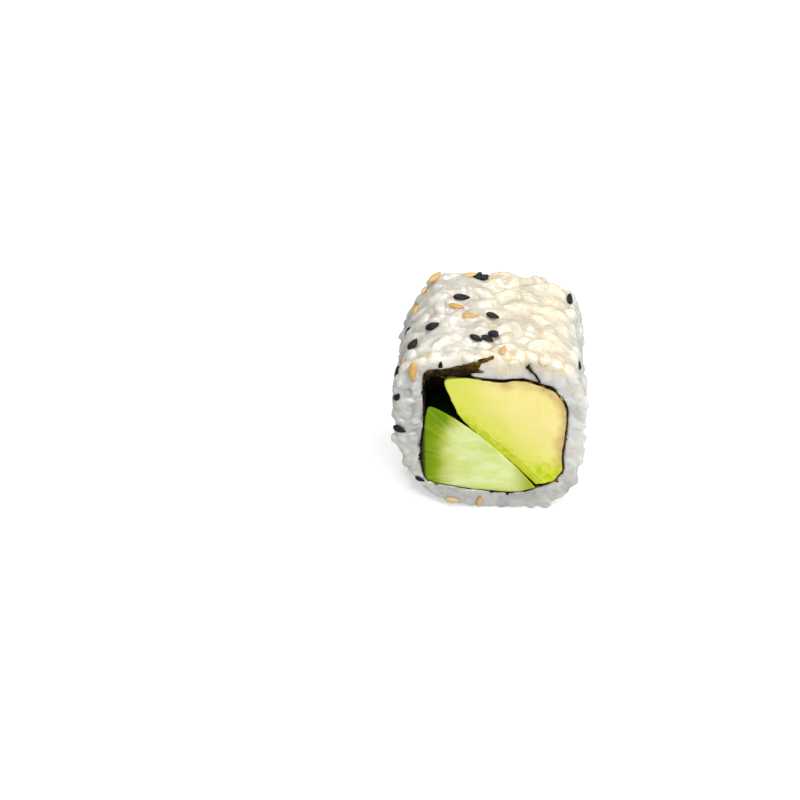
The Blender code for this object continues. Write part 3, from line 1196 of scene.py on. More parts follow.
    def build(self, name: str) -> bpy.types.Object:
        """Lay the grains, fuse them with the core, and store each point's tone, with painted light and shade in it, its
        crease and its warmth.

        Args:
            name: The piece's name.

        Returns:
            The finished piece, without its material.
        """
        self.grains = self.lay_side().joined(self.lay_face(-1.0)).joined(self.lay_face(1.0))
        self.grains = self.grains.joined(self.lay_rim())
        points, quads, fans = self.grains.surface()
        points = self.settled(points)
        core_points, core_quads = self.core_surface()
        quads = np.concatenate([quads, core_quads + len(points)])
        obj = new_mesh_object(name, np.concatenate([points, core_points]), quads, fans)
        rounding = obj.modifiers.new("rounding", "SUBSURF")
        rounding.levels = rounding.render_levels = 1
        fusing = obj.modifiers.new("fusing", "REMESH")
        fusing.mode = "VOXEL"
        fusing.voxel_size = self.voxel * MM
        fusing.use_smooth_shade = True
        easing = obj.modifiers.new("easing", "SMOOTH")
        easing.factor = 0.5
        easing.iterations = 4
        apply_modifiers(obj)
        levels = 8
        level = np.round(self.fused(points_of(obj)) * levels).astype(int)
        stuck = obj.vertex_groups.new(name="stuck")
        for step in range(1, levels + 1):
            stuck.add(np.nonzero(level == step)[0].tolist(), step / levels, "REPLACE")
        melting = obj.modifiers.new("melting", "SMOOTH")
        melting.factor = 0.6
        melting.iterations = 70
        melting.vertex_group = stuck.name
        thinning = obj.modifiers.new("thinning", "DECIMATE")
        thinning.ratio = self.faces / (2.0 * len(obj.data.polygons))
        apply_modifiers(obj)
        obj.vertex_groups.clear()
        marks = self.marks(points_of(obj))
        normals = np.empty(len(obj.data.vertices) * 3, np.float32)
        obj.data.vertices.foreach_get("normal", normals)
        moved = self.roughened(points_of(obj), normals.reshape(-1, 3))
        obj.data.vertices.foreach_set("co", (moved * MM).astype(np.float32).ravel())
        obj.data.update()
        for mark, values in marks.items():
            set_attribute(obj, mark, values)
        return obj

    def fused(self, points: Array) -> Array:
        """How far the grains have run into each other at each point: 0 where each can be told apart."""
        patches = self.noise.at(points + 70.0, 4.5) + 0.4 * self.noise.at(points - 70.0, 1.8)
        x, y, z = points.T
        front_share = 0.2 + 0.3 * smoothstep(31.0, 34.0, z) + 0.25 * smoothstep(8.0, 5.0, z)
        patches -= smoothstep(-13.0, -15.0, y) * front_share
        upper_right = smoothstep(-2.0, 5.0, x) * smoothstep(30.0, 34.0, z) * smoothstep(-15.0, -12.0, y)
        return 0.05 + 0.4 * smoothstep(-0.2, 0.45, patches) + 0.5 * upper_right

    def marks(self, points: Array) -> dict[str, Array]:
        """The tone of the grain that a point belongs to, with painted light and shade added, how deep in a crease it
        is, and how warm that is.

        A point's distance to a grain is measured in the grain's own half lengths, so it is 1 on its skin.
        A crease is where the two nearest grains are about as far, or where no grain is near; the material paints shade
        there.
        The tone has painted light and shade added: lighter at the top, the upper front edge and the right side, and
        darker near the board. The warmth is strongest at the top right; it is partly painted warm light, which turns
        the lit grains cream, and partly where the starch shows.

        Args:
            points: The points, one a row.

        Returns:
            The masks by name, each from 0 to 1.
        """
        own_tone = self.rng.random(len(self.grains.centre))
        into = (self.grains.axes / self.grains.half[:, :, None]).astype(np.float32)
        centre = self.grains.centre.astype(np.float32)
        tone, crease = np.empty(len(points)), np.empty(len(points))
        block = 3000
        for start in range(0, len(points), block):
            some = points[start : start + block].astype(np.float32)
            local = np.einsum("gkx,pgx->pgk", into, some[:, None] - centre[None], optimize=True)
            far = np.sqrt((local**2).sum(axis=2))
            order = np.argpartition(far, 1, axis=1)[:, :2]
            nearest = np.take_along_axis(far, order, axis=1)
            first, second = nearest.min(axis=1), nearest.max(axis=1)
            swap = nearest[:, 0] > nearest[:, 1]
            own = own_tone[np.where(swap, order[:, 1], order[:, 0])]
            other = own_tone[np.where(swap, order[:, 0], order[:, 1])]
            share = 0.5 + 0.5 * smoothstep(0.0, 0.35, second - first)
            tone[start : start + block] = 0.5 * (own * share + other * (1.0 - share))
            # The crease mask, where the material paints shade: near the edge between two grains, and where no grain is
            # near.
            near_edge = 1.0 - smoothstep(0.0, 0.38, second - first)
            crease[start : start + block] = np.maximum(near_edge, 0.5 * smoothstep(1.05, 1.5, first))
        crease *= 1.0 - 0.9 * self.fused(points)
        x, y, z = points.T
        # Painted light and shade: the tone is raised at the top, the upper front edge and the right side, and lowered
        # near the board.
        light = smoothstep(29.0, 36.0, z) * (0.42 + 0.08 * smoothstep(-5.0, 8.0, x))
        light += 0.3 * smoothstep(-4.0, -14.0, y) * smoothstep(33.0, 35.0, z) * smoothstep(8.0, -2.0, x)
        light += 0.38 * smoothstep(9.0, 16.0, x) * smoothstep(4.0, 14.0, z)
        light += 0.08 * smoothstep(4.0, 9.0, z) - 0.1 * smoothstep(6.0, 2.0, z)
        # Painted warm light at the top, warmest at the right, with faint warm patches elsewhere; it also sets where the
        # starch shows.
        warm = smoothstep(30.0, 35.0, z) * (0.3 + 0.7 * smoothstep(-6.0, 3.0, x))
        warm = np.maximum(warm, 0.05 + 0.25 * self.noise.at(points, 5.0))
        marks = {"tone": tone + light, "crease": crease, "warm": warm}
        return {name: np.clip(values, 0.0, 1.0) for name, values in marks.items()}


# ---------------------------------------------------------------------------------------------------
# Nori
# ---------------------------------------------------------------------------------------------------


@dataclass
class NoriSheet:
    """The rolled sheet of nori, its torn flap, its crumpled inner end and a sliver in the rice."""

    shape: RollShape
    thickness: float = 0.2
    around: int = 640
    seed: int = 23
    flap_top: tuple[tuple[float, float], ...] = (
        (-12.9, 32.0),
        (-12.5, 33.1),
        (-11.0, 33.8),
        (-8.8, 34.2),
        (-7.0, 34.4),
        (-5.3, 34.8),
        (-3.8, 35.4),
        (-2.4, 35.9),
        (-0.8, 36.45),
        (0.9, 36.9),
    )
    flap_bottom: tuple[tuple[float, float], ...] = (
        (-12.3, 31.4),
        (-11.6, 32.2),
        (-10.4, 32.7),
        (-8.4, 32.8),
        (-6.6, 32.7),
        (-4.9, 32.7),
        (-3.4, 33.3),
        (-2.0, 34.5),
        (-1.3, 35.6),
        (0.9, 36.55),
    )
    prong: tuple[tuple[float, float], ...] = ((-3.9, 34.1), (-2.9, 33.95), (-2.0, 33.75), (-1.1, 33.5))
    tooth: tuple[tuple[float, float], ...] = ((-9.9, 35.0), (-9.6, 35.65), (-9.4, 35.7), (-9.1, 35.0))
    sliver: tuple[tuple[float, float], ...] = ((7.4, 34.6), (8.1, 33.5), (9.0, 32.5), (9.6, 31.2), (9.9, 30.3))

    def __post_init__(self) -> None:
        """Set up the noise."""
        self.noise = Noise(self.seed)

    def ribbon(
        self, line: Array, thickness: Array, front: Array, back: Array, columns: int, flare: Array | float = 0.0
    ) -> tuple[Array, Array]:
        """A closed sheet that stands on a line in X and Z and runs back from front to back.

        At each point of the line the section is a thin loop: along the outer face from front to back,
        and along the inner face to the front again. Steps are short near the ends and long between.

        Args:
            line: The line's points, one a row.
            thickness: The sheet's thickness at each point of the line.
            front: Where the sheet begins along Y at each point of the line.
            back: Where it ends.
            columns: How many points each face has from front to back.
            flare: How far the outer face leans out at the very front, at each point of the line.

        Returns:
            The points, and the quads, without the two end walls.
        """
        left = sideways_of(line, closed=False)
        t = np.linspace(0.0, 1.0, columns)
        t = t + 0.12 * np.sin(FULL_TURN * t) * -1.0
        rim = np.minimum(1.0, np.sqrt(np.minimum(t, 1.0 - t) / 0.004 + 0.12))
        y = front[:, None] + (back - front)[:, None] * t[None]
        half = thickness[:, None] / 2.0 * rim[None]
        both = []
        for sign in (1.0, -1.0):
            lean = np.reshape(flare, (-1, 1)) * np.exp(-t[None] / 0.012) * (sign > 0.0)
            x = line[:, 0:1] + left[:, 0:1] * (half * sign + lean)
            z = line[:, 1:2] + left[:, 1:2] * (half * sign + lean)
            both.append(np.stack([x, y, z], axis=-1))
        points = np.concatenate([both[0], both[1][:, ::-1]], axis=1)
        quads = grid_quads(len(line), 2 * columns, close_rows=False, close_columns=True)
        return points, quads

    @staticmethod
    def end_walls(rows: int, columns: int) -> Array:
        """The quads that close a ribbon's first and last rows, across its thickness."""
        k = np.arange(columns // 2 - 1)
        first = np.stack([k, k + 1, columns - 2 - k, columns - 1 - k], axis=1)
        return np.concatenate([first[:, ::-1], first + (rows - 1) * columns])

    def rolled(self) -> tuple[Array, Array, Array]:
        """The sheet once round the filling, from its inner end to the foot of the flap.

        Its edges at the cut faces wander and have little teeth, and its thickness changes along it.

        Returns:
            The points, the quads, and how thin the sheet is at each point.
        """
        named = np.array(self.shape.nori_inner_end + self.shape.nori_round)
        line = evenly_spaced(smooth_line(named, 12, closed=False), self.around, closed=False)
        there = np.stack([line[:, 0], np.zeros(self.around), line[:, 1]], axis=1)
        wobble = self.noise.at(there, 2.2) * 0.12 + self.noise.at(there, 0.8) * 0.05
        line = line + sideways_of(line, closed=False) * wobble[:, None]
        thickness = self.thickness * (1.0 + 0.5 * self.noise.at(there, 2.5) + 0.4 * self.noise.at(there, 0.7))
        half = self.shape.depth / 2.0
        teeth = np.maximum(0.0, self.noise.at(there, 1.0)) ** 2
        front = -half + 0.12 + 0.25 * self.noise.at(there, 1.8) - 0.3 * teeth
        back = half - 0.15 + 0.2 * self.noise.at(there + 40.0, 1.8) + 0.1 * teeth
        columns = 30
        points, quads = self.ribbon(line, thickness, front, back, columns, 2.0 * teeth)
        points = self.shape.pinched(points)
        quads = np.concatenate([quads, self.end_walls(self.around, 2 * columns)])
        from_cut = self.shape.depth / 2.0 - np.abs(points[..., 1])
        thin = smoothstep(-0.3, 0.2, self.noise.at(there, 1.6))[:, None] * smoothstep(0.9, 0.3, from_cut)
        return points.reshape(-1, 3), quads, thin.ravel()

    def patch(
        self, top: Array, bottom: Array, lean: float, y_front: float, rows: int = 60, swept: float = 0.0
    ) -> tuple[Array, Array, Array]:
        """A torn scrap of sheet between a top and a bottom edge, seen nearly face on.

        Across the scrap, points go evenly from the bottom edge to the top one and lean back from the
        front by lean. It curls, ripples with noise, and is closed by a second face behind it.

        Args:
            top: The top edge's points in X and Z.
            bottom: The bottom edge's points, as many.
            lean: How much further back the top edge is than the bottom one.
            y_front: Where the bottom edge is along Y.
            rows: How many steps the scrap has along its edges.
            swept: How much further back its last end is than its first, with the cube of the way along.

        Returns:
            The points, the quads, and how thin the scrap is at each point.
        """
        columns = 9
        upper = evenly_spaced(smooth_line(np.array(top), 8, closed=False), rows, closed=False)
        lower = evenly_spaced(smooth_line(np.array(bottom), 8, closed=False), rows, closed=False)
        v = np.linspace(0.0, 1.0, columns)[None, :, None]
        flat = lower[:, None] * (1.0 - v) + upper[:, None] * v
        y = y_front + lean * v[..., 0] + swept * np.linspace(0.0, 1.0, rows)[:, None] ** 3
        face = np.stack([flat[..., 0], y, flat[..., 1]], axis=-1)
        ripple = self.noise.at(face, 1.7) * 0.30 + self.noise.at(face, 0.7) * 0.14
        ragged = self.noise.at(face + 30.0, 0.9) * 0.22
        face = face + np.stack([0.0 * ripple, ripple, ragged], axis=-1)
        curl = np.sin(v[..., 0] * math.pi) * -0.15
        face[..., 1] += curl
        thickness = 0.14
        behind = face + np.array([0.0, thickness, 0.0])
        points = np.concatenate([face, behind[:, ::-1]], axis=1)
        quads = grid_quads(rows, 2 * columns, close_rows=False, close_columns=True)
        quads = np.concatenate([quads, self.end_walls(rows, 2 * columns)])
        thin = 0.3 + 0.35 * v[..., 0] ** 2 + 0.4 * smoothstep(0.45, 0.8, np.linspace(0.0, 1.0, rows))[:, None]
        thin = np.concatenate([thin, thin[:, ::-1]], axis=1)
        return points.reshape(-1, 3), quads, thin.ravel()

    def build(self, name: str) -> bpy.types.Object:
        """Join the sheet's parts into one piece.

        Args:
            name: The piece's name.

        Returns:
            The finished piece, without its material.
        """
        front = -self.shape.depth / 2.0
        flap = self.patch(self.flap_top, self.flap_bottom, 0.5, front - 0.35, swept=0.25)
        prong_top = np.array(self.prong)
        prong_low = prong_top + np.array([[0.0, -0.9], [0.1, -0.75], [0.1, -0.5], [0.0, -0.12]])
        prong = self.patch(prong_top, prong_low, 0.3, front - 0.3, rows=24)
        crumple_top = np.array([(-12.4, 32.4), (-11.0, 32.6), (-9.6, 32.2), (-8.4, 31.6)])
        crumple_low = np.array([(-12.2, 24.0), (-10.9, 24.3), (-9.4, 23.4), (-7.6, 22.2)])
        crumple = self.patch(crumple_top, crumple_low, -4.5, front + 6.5, rows=40)
        crumple = (crumple[0], crumple[1], crumple[2] * 0.4)
        tooth_low = np.array([(-9.9, 34.4), (-9.6, 34.4), (-9.4, 34.4), (-9.1, 34.4)])
        tooth = self.patch(np.array(self.tooth), tooth_low, 0.2, front - 0.1, rows=16)
        tooth = (tooth[0], tooth[1], tooth[2] * 0.2)
        line = evenly_spaced(smooth_line(np.array(self.sliver), 8, closed=False), 50, closed=False)
        there = np.stack([line[:, 0], np.zeros(50), line[:, 1]], axis=1)
        width = 0.34 + 0.3 * self.noise.at(there, 0.9) + 0.35 * smoothstep(0.3, 0.0, np.linspace(0, 1, 50))
        edge = front - 0.25 + 0.1 * self.noise.at(there, 0.8)
        columns = 10
        sliver_points, sliver_quads = self.ribbon(line, np.maximum(width, 0.12), edge, edge + 3.0, columns)
        sliver_quads = np.concatenate([sliver_quads, self.end_walls(50, 2 * columns)])
        sliver = (sliver_points.reshape(-1, 3), sliver_quads, np.full(sliver_points.shape[0] * 2 * columns, 0.4))
        parts = [self.rolled(), flap, prong, tooth, crumple, sliver]
        points, quads, thin, shift = [], [], [], 0
        for part_points, part_quads, part_thin in parts:
            points.append(part_points)
            quads.append(part_quads + shift)
            thin.append(part_thin)
            shift += len(part_points)
        obj = new_mesh_object(name, np.concatenate(points), np.concatenate(quads))
        set_attribute(obj, "thin", np.concatenate(thin))
        return obj


# ---------------------------------------------------------------------------------------------------
# Filling
# ---------------------------------------------------------------------------------------------------


@dataclass
class Strip:
    """A strip of filling that runs through the slice and ends in two cut faces."""

    shape: RollShape
    reach: tuple[int, int]  # the named points of the nori's line between which it lies on the nori
    seam: tuple[tuple[float, float], ...]  # the rest of its outline
    middle: tuple[float, float]  # a point inside its cut face that sees the whole outline
    inset: float = 0.15  # how far inside the slice's cut faces it ends
    rim: float = 0.2  # how far the edge of a cut face is rounded over
    lining_gap: float = 0.04
    waver: float = 0.06  # how far its outline wavers
    around: int = 340
    across: int = 46
    seed: int = 31

    def __post_init__(self) -> None:
        """Set up the noise and the outline."""
        self.noise = Noise(self.seed)
        lining = self.shape.lining(*self.reach, self.lining_gap)
        self.seam_line = smooth_line(np.array(self.seam), 12, closed=False)
        outline = np.concatenate([lining, self.seam_line])
        self.outline = evenly_spaced(outline, self.around, closed=True)
        across = self.outline - np.array(self.middle)
        across /= np.linalg.norm(across, axis=1, keepdims=True)
        self.outline += self.waver * self.noise.at(self.flat_to_space(self.outline), 1.5)[:, None] * across

    @staticmethod
    def flat_to_space(points: Array) -> Array:
        """Points in X and Z as points in space, at Y = 0."""
        return np.stack([points[..., 0], np.zeros(points.shape[:-1]), points[..., 1]], axis=-1)

    def relief(self, flat: Array, from_rim: Array) -> Array:
        """How far the cut face lies behind its plane: soft waves, and a rim that rounds over.

        The rim falls back by its own width as a quarter circle does.

        Args:
            flat: The points in X and Z, one a row.
            from_rim: Each point's distance from the outline.

        Returns:
            The depths, one for each point.
        """
        space = self.flat_to_space(flat)
        waves = 0.10 * self.noise.at(space, 6.0) + 0.04 * self.noise.at(space, 1.6)
        over = np.clip(1.0 - from_rim / self.rim, 0.0, 1.0)
        return waves + self.rim * (1.0 - np.sqrt(1.0 - over**2))

    def marks(self, flat: Array, from_rim: Array, on_side: Array) -> dict[str, Array]:
        """The masks that the strip's material reads, by name."""
        raise NotImplementedError

    def build(self, name: str) -> bpy.types.Object:
        """Make the strip: rays from the middle of each cut face to the outline, joined by the long side.

        Each face is a grid of rings round its middle, which get closer towards the rim, with relief
        along Y. The long side carries the outline from the front face to the back one.

        Args:
            name: The piece's name.

        Returns:
            The finished piece, without its material.
        """
        share = 1.0 - (1.0 - np.linspace(0.0, 1.0, self.across + 1)[1:]) ** 1.5
        centre = np.array(self.middle)
        rings = centre + (self.outline[None] - centre) * share[:, None, None]
        flat = rings.reshape(-1, 2)
        closed_outline = np.concatenate([self.outline, self.outline[:1]])
        from_rim = distance_to_line(flat, closed_outline)
        half = self.shape.depth / 2.0 - self.inset
        depth = self.relief(flat, from_rim)
        front = np.stack([flat[:, 0], -half + depth, flat[:, 1]], axis=1)
        back = np.stack([flat[:, 0], half - depth[::1], flat[:, 1]], axis=1)
        front = front.reshape(self.across, self.around, 3)
        back = back.reshape(self.across, self.around, 3)
        steps = 12
        s = np.concatenate([[0.006], np.linspace(0.0, 1.0, steps)[1:-1], [0.994]])[:, None, None]
        side = front[-1][None] * (1.0 - s) + back[-1][None] * s
        grid = np.concatenate([front, side, back[::-1]])
        rows = len(grid)
        poles = np.array([[centre[0], -half, centre[1]], [centre[0], half, centre[1]]])
        points = np.concatenate([grid.reshape(-1, 3), poles])
        points = self.shape.pinched(points)
        quads = grid_quads(rows, self.around, close_rows=False, close_columns=True)
        last = rows * self.around
        fans = np.concatenate(
            [
                pole_triangles(last, 0, self.around),
                pole_triangles(last + 1, last - self.around, self.around)[:, ::-1],
            ]
        )
        obj = new_mesh_object(name, points, quads, fans)
        side_flat = np.broadcast_to(self.outline[None], (steps, self.around, 2)).reshape(-1, 2)
        every_flat = np.concatenate([flat, side_flat, flat.reshape(self.across, -1, 2)[::-1].reshape(-1, 2)])
        every_flat = np.concatenate([every_flat, [centre, centre]])
        every_rim = distance_to_line(every_flat, closed_outline)
        on_side = np.zeros(len(points))
        on_side[self.across * self.around : (self.across + steps) * self.around] = 1.0
        for mark, values in self.marks(every_flat, every_rim, on_side).items():
            set_attribute(obj, mark, values)
        return obj


@dataclass
class AvocadoStrip(Strip):
    """The strip of avocado, with a bevel of vivid flesh along the seam."""

    reach: tuple[int, int] = (0, 11)
    seam: tuple[tuple[float, float], ...] = (
        (9.3, 6.0),
        (6.8, 8.9),
        (4.6, 11.3),
        (2.2, 13.7),
        (-1.0, 16.9),
        (-3.2, 19.2),
        (-5.9, 22.6),
        (-7.5, 26.4),
        (-8.9, 30.4),
        (-8.2, 31.4),
    )
    middle: tuple[float, float] = (5.0, 20.0)
    waver: float = 0.16
    bevel: float = 1.5
    bevel_drop: float = 0.22
    seed: int = 37

    def bevel_share(self, flat: Array) -> Array:
        """1 on the seam, 0 from the bevel's width away; the bevel narrows to nothing at the upper left."""
        width = self.bevel * smoothstep(24.0, 16.0, flat[:, 1]) + 0.25
        return np.clip(1.0 - distance_to_line(flat, self.seam_line) / width, 0.0, 1.0)

    def relief(self, flat: Array, from_rim: Array) -> Array:
        """The plain relief, with the seam's bevel falling back evenly from a crease."""
        return super().relief(flat, from_rim) + self.bevel_drop * self.bevel_share(flat)

    def marks(self, flat: Array, from_rim: Array, on_side: Array) -> dict[str, Array]:
        """The masks of the avocado: lime towards the skin, vivid along the seam, browned at the rim."""
        x, z = flat[:, 0], flat[:, 1]
        from_seam = distance_to_line(flat, self.seam_line)
        space = self.flat_to_space(flat)
        drift = self.noise.at(space, 5.0) * 1.6
        lime = smoothstep(11.0, 1.5, from_seam + drift)
        lime = np.maximum(lime * 0.85, smoothstep(2.0, -8.0, x + drift) * 0.9)
        lime = np.maximum(lime, smoothstep(15.0, 8.0, z + drift))
        vivid = smoothstep(3.2, 1.0, from_seam + drift * 0.3) * smoothstep(28.0, 20.0, z)
        vivid = np.maximum(vivid, 0.95 * smoothstep(14.5, 9.0, z + drift * 0.8))
        rim_noise = self.noise.at(space, 2.0)
        edge = smoothstep(2.4, 0.1, from_rim + rim_noise * 0.7) * (0.75 + 0.25 * smoothstep(8.0, 13.0, x))
        edge *= 0.75 + 0.25 * smoothstep(19.0, 26.0, z + drift)
        browned = edge * smoothstep(-3.0, 4.0, x) * smoothstep(8.0, 13.0, z) * smoothstep(1.5, 4.0, from_seam)
        on_bevel = smoothstep(24.0, 18.0, z) * (1.0 - on_side)
        broken = 0.6 + 0.6 * self.noise.at(space + 9.0, 1.8)
        line = 0.75 * np.exp(-(((from_seam - self.bevel) / 0.15) ** 2)) * on_bevel * broken
        line += 0.5 * np.exp(-(((from_seam - 0.55 * self.bevel) / 0.12) ** 2)) * on_bevel * broken
        line = np.maximum(line, 0.35 * smoothstep(self.bevel, 0.2, from_seam) * on_bevel)
        light = 0.2 * np.exp(-(((from_seam - self.bevel - 0.42) / 0.2) ** 2)) * on_bevel
        marks = {"lime": lime, "vivid": vivid, "browned": browned, "line": line, "light": light}
        return {name: np.clip(values, 0.0, 1.0) for name, values in marks.items()}


@dataclass
class CucumberStrip(Strip):
    """The strip of cucumber, with its skin against the nori at the left."""

    reach: tuple[int, int] = (12, 19)
    seam: tuple[tuple[float, float], ...] = (
        (-12.2, 24.6),
        (-11.4, 24.9),
        (-8.5, 23.3),
        (-5.4, 20.9),
        (-3.4, 19.2),
        (-1.0, 17.0),
        (2.2, 13.8),
        (4.6, 11.2),
        (6.6, 8.8),
    )
    middle: tuple[float, float] = (-3.5, 11.0)
    seed: int = 41

    def marks(self, flat: Array, from_rim: Array, on_side: Array) -> dict[str, Array]:
        """The masks of the cucumber: green towards the skin at the left and at the right tip."""
        x, z = flat[:, 0], flat[:, 1]
        space = self.flat_to_space(flat)
        drift = self.noise.at(space, 3.5) * 1.2
        from_left = x + 13.2 + drift
        from_tip = np.hypot(x + 12.0, z - 24.5) + drift
        green = smoothstep(7.0, 1.8, from_left)
        green = np.maximum(green, smoothstep(9.5, 3.0, from_tip))
        green = np.maximum(green, 0.9 * smoothstep(4.0, 8.0, x + drift * 0.5))
        green = np.maximum(green, 0.4 * smoothstep(0.9, 0.1, from_rim) * smoothstep(9.0, 6.0, z))
        skin = 0.8 * smoothstep(0.9, 0.15, x + 13.3 + 0.0 * z) * smoothstep(4.0, 8.0, z)
        skin = np.maximum(skin, on_side)
        deep = np.maximum(smoothstep(5.0, 0.5, from_left), smoothstep(7.0, 3.0, from_tip))
        streak = smoothstep(1.5, 6.0, np.hypot(x - 1.0, z - 9.5))
        marks = {"green": green, "skin": skin, "deep": deep, "streak": streak}
        return {name: np.clip(values, 0.0, 1.0) for name, values in marks.items()}


# ---------------------------------------------------------------------------------------------------
# Seeds
# ---------------------------------------------------------------------------------------------------


class SeedKind(Enum):
    """The two kinds of sesame seed on the rice."""

    BLACK = "sesame_black"
    GOLDEN = "sesame_golden"


class Facing(Enum):
    """The side of the slice that a seed is put on: the direction it is pressed in, and its two axes."""

    TOP = ((0.0, 0.0, -1.0), 0, 1)
    FRONT = ((0.0, 1.0, 0.0), 0, 2)
    BACK = ((0.0, -1.0, 0.0), 0, 2)
    LEFT = ((1.0, 0.0, 0.0), 1, 2)
    RIGHT = ((-1.0, 0.0, 0.0), 1, 2)


@dataclass(frozen=True)
class Spot:
    """Where a seed lies on a side of the slice, and how far it is turned there, in degrees."""

    facing: Facing
    first: float
    second: float
    turn: float = 0.0
    size: float = 1.0
    sunk: float = 0.25  # the share of the seed's thickness that is pressed into the rice


@dataclass
class SesameSeeds:
    """All the sesame seeds of one kind, as one piece of many small shapes."""

    kind: SeedKind
    spots: list[Spot]
    length: float = 3.2
    width: float = 2.0
    thickness: float = 0.9
    seed: int = 53

    ROUND = 10
    RINGS = 7

    def unit_seed(self) -> tuple[Array, Array, Array, Array]:
        """One seed of length 1: a flat drop.

        At a share t of its length it is sin(pi t^1.3)^0.7 of its full width, so it is widest past its
        middle and comes to a point at t = 0.

        Returns:
            The points, the quads, the triangles, and how near the tip each point is.
        """
        t = (np.arange(self.RINGS) + 1.0) / (self.RINGS + 1.0)
        wide = np.sin(math.pi * t**1.3) ** 0.7
        b = np.arange(self.ROUND) / self.ROUND * FULL_TURN
        x = np.broadcast_to((0.5 - t)[:, None], (self.RINGS, self.ROUND))
        y = 0.5 * wide[:, None] * np.cos(b)
        flat = np.sign(np.sin(b)) * np.abs(np.sin(b)) ** 0.8
        z = 0.5 * wide[:, None] ** 0.7 * flat
        points = np.concatenate([np.stack([x, y, z], axis=-1).reshape(-1, 3), [[0.5, 0, 0], [-0.5, 0, 0]]])
        last = self.RINGS * self.ROUND
        quads = grid_quads(self.RINGS, self.ROUND, close_rows=False, close_columns=True)
        fans = [pole_triangles(last, 0, self.ROUND), pole_triangles(last + 1, last - self.ROUND, self.ROUND)[:, ::-1]]
        tip = smoothstep(0.30, 0.5, points[:, 0])
        return points, quads, np.concatenate(fans), tip

    def landed(self, rice: BVHTree, rng: np.random.Generator) -> tuple[Array, Array, Array]:
        """Press each seed onto the rice along its facing's direction.

        Args:
            rice: The rice's surface, in metres.
            rng: Where the small differences come from.

        Returns:
            The seeds' centres in millimetres, their directions, and their sizes.
        """
        centres, normals, spins, sizes, alongs, sunk = [], [], [], [], [], []
        for spot in self.spots:
            towards, first_axis, second_axis = spot.facing.value
            start = np.array(towards) * -60.0 + np.array([0.0, 0.0, 18.0])
            start[first_axis] = spot.first
            start[second_axis] = spot.second
            hits = []
            for step_first, step_second in ((0.0, 0.0), (0.8, 0.0), (-0.8, 0.0), (0.0, 0.8), (0.0, -0.8)):
                near = start.copy()
                near[first_axis] += step_first
                near[second_axis] += step_second
                hit, normal, _, _ = rice.ray_cast(Vector(near * MM), Vector(towards))
                if hit is not None:
                    hits.append((np.array(hit) / MM, np.array(normal)))
            if len(hits) < 3:
                continue
            towards = np.array(towards)
            usual = sorted(hit @ towards for hit, _ in hits)[len(hits) // 2]
            hits = [(hit, normal) for hit, normal in hits if abs(hit @ towards - usual) < 1.5]
            centre = np.mean([hit for hit, _ in hits], axis=0)
            softened = np.mean([normal for _, normal in hits], axis=0) * 0.6 - towards * 0.4
            softened /= np.linalg.norm(softened)
            along = np.zeros(3)
            along[first_axis] = 1.0
            along -= softened * (along @ softened)
            centres.append(centre)
            normals.append(softened)
            alongs.append(along / np.linalg.norm(along))
            spins.append(math.radians(spot.turn))
            sizes.append(spot.size)
            sunk.append(spot.sunk)
        normals, centres = np.array(normals), np.array(centres)
        count = len(centres)
        tilt = rng.normal(size=count) * math.radians(8.0)
        axes = turned_frames(normals, np.array(alongs), np.array(spins), tilt)
        size = np.array([self.length, self.width, self.thickness]) * np.array(sizes)[:, None]
        size = size * (1.0 + 0.07 * np.clip(rng.normal(size=(count, 3)), -2.0, 2.0))
        centres = centres + normals * size[:, 2:] * (0.5 - np.array(sunk)[:, None])
        return centres, axes, size

    def build(self, rice: BVHTree) -> bpy.types.Object:
        """Make the piece: one drop for each spot, rounded by one subdivision.

        Args:
            rice: The rice's surface, in metres.

        Returns:
            The finished piece, without its material.
        """
        rng = np.random.default_rng(self.seed)
        unit, quads, fans, tip = self.unit_seed()
        centres, axes, size = self.landed(rice, rng)
        local = unit[None] * size[:, None]
        points = centres[:, None] + np.einsum("spk,skx->spx", local, axes)
        count, each = len(centres), len(unit)
        shift = (np.arange(count) * each)[:, None, None]
        obj = new_mesh_object(
            self.kind.value,
            points.reshape(-1, 3),
            (quads[None] + shift).reshape(-1, 4),
            (fans[None] + shift).reshape(-1, 3),
        )
        set_attribute(obj, "tip", np.tile(tip, count))
        set_attribute(obj, "tone", np.repeat(rng.random(count), each))
        rounding = obj.modifiers.new("rounding", "SUBSURF")
        rounding.levels = rounding.render_levels = 1
        return obj


BLACK_SPOTS = [
    Spot(Facing.TOP, -5.6, 4.4, 5.0, 1.1, 0.1),
    Spot(Facing.TOP, 0.6, -1.0, -10.0, 0.95, 0.1),
    Spot(Facing.TOP, 0.9, -8.1, -55.0, 1.12, 0.0),
    Spot(Facing.TOP, -2.5, -9.5, -35.0, 1.0, 0.05),
    Spot(Facing.TOP, -0.4, -9.7, -25.0, 0.95, 0.1),
    Spot(Facing.TOP, -11.2, -4.5, 12.0, 1.1, 0.1),
    Spot(Facing.TOP, -14.9, -8.8, 62.0, 1.25, 0.05),
    Spot(Facing.RIGHT, 11.3, 33.0, 22.0, 1.0, 0.15),
    Spot(Facing.TOP, -2.3, 14.0, 70.0, 1.0, 0.35),
    Spot(Facing.TOP, -1.0, 13.6, 10.0, 1.0, 0.2),
    Spot(Facing.RIGHT, -8.2, 29.9, 85.0, 0.85, 0.3),
    Spot(Facing.FRONT, -18.1, 27.4, 60.0, 0.7),
    Spot(Facing.FRONT, -17.9, 20.0, -20.0, 0.9, 0.1),
    Spot(Facing.FRONT, -13.9, 7.4, -25.0, 0.65),
]
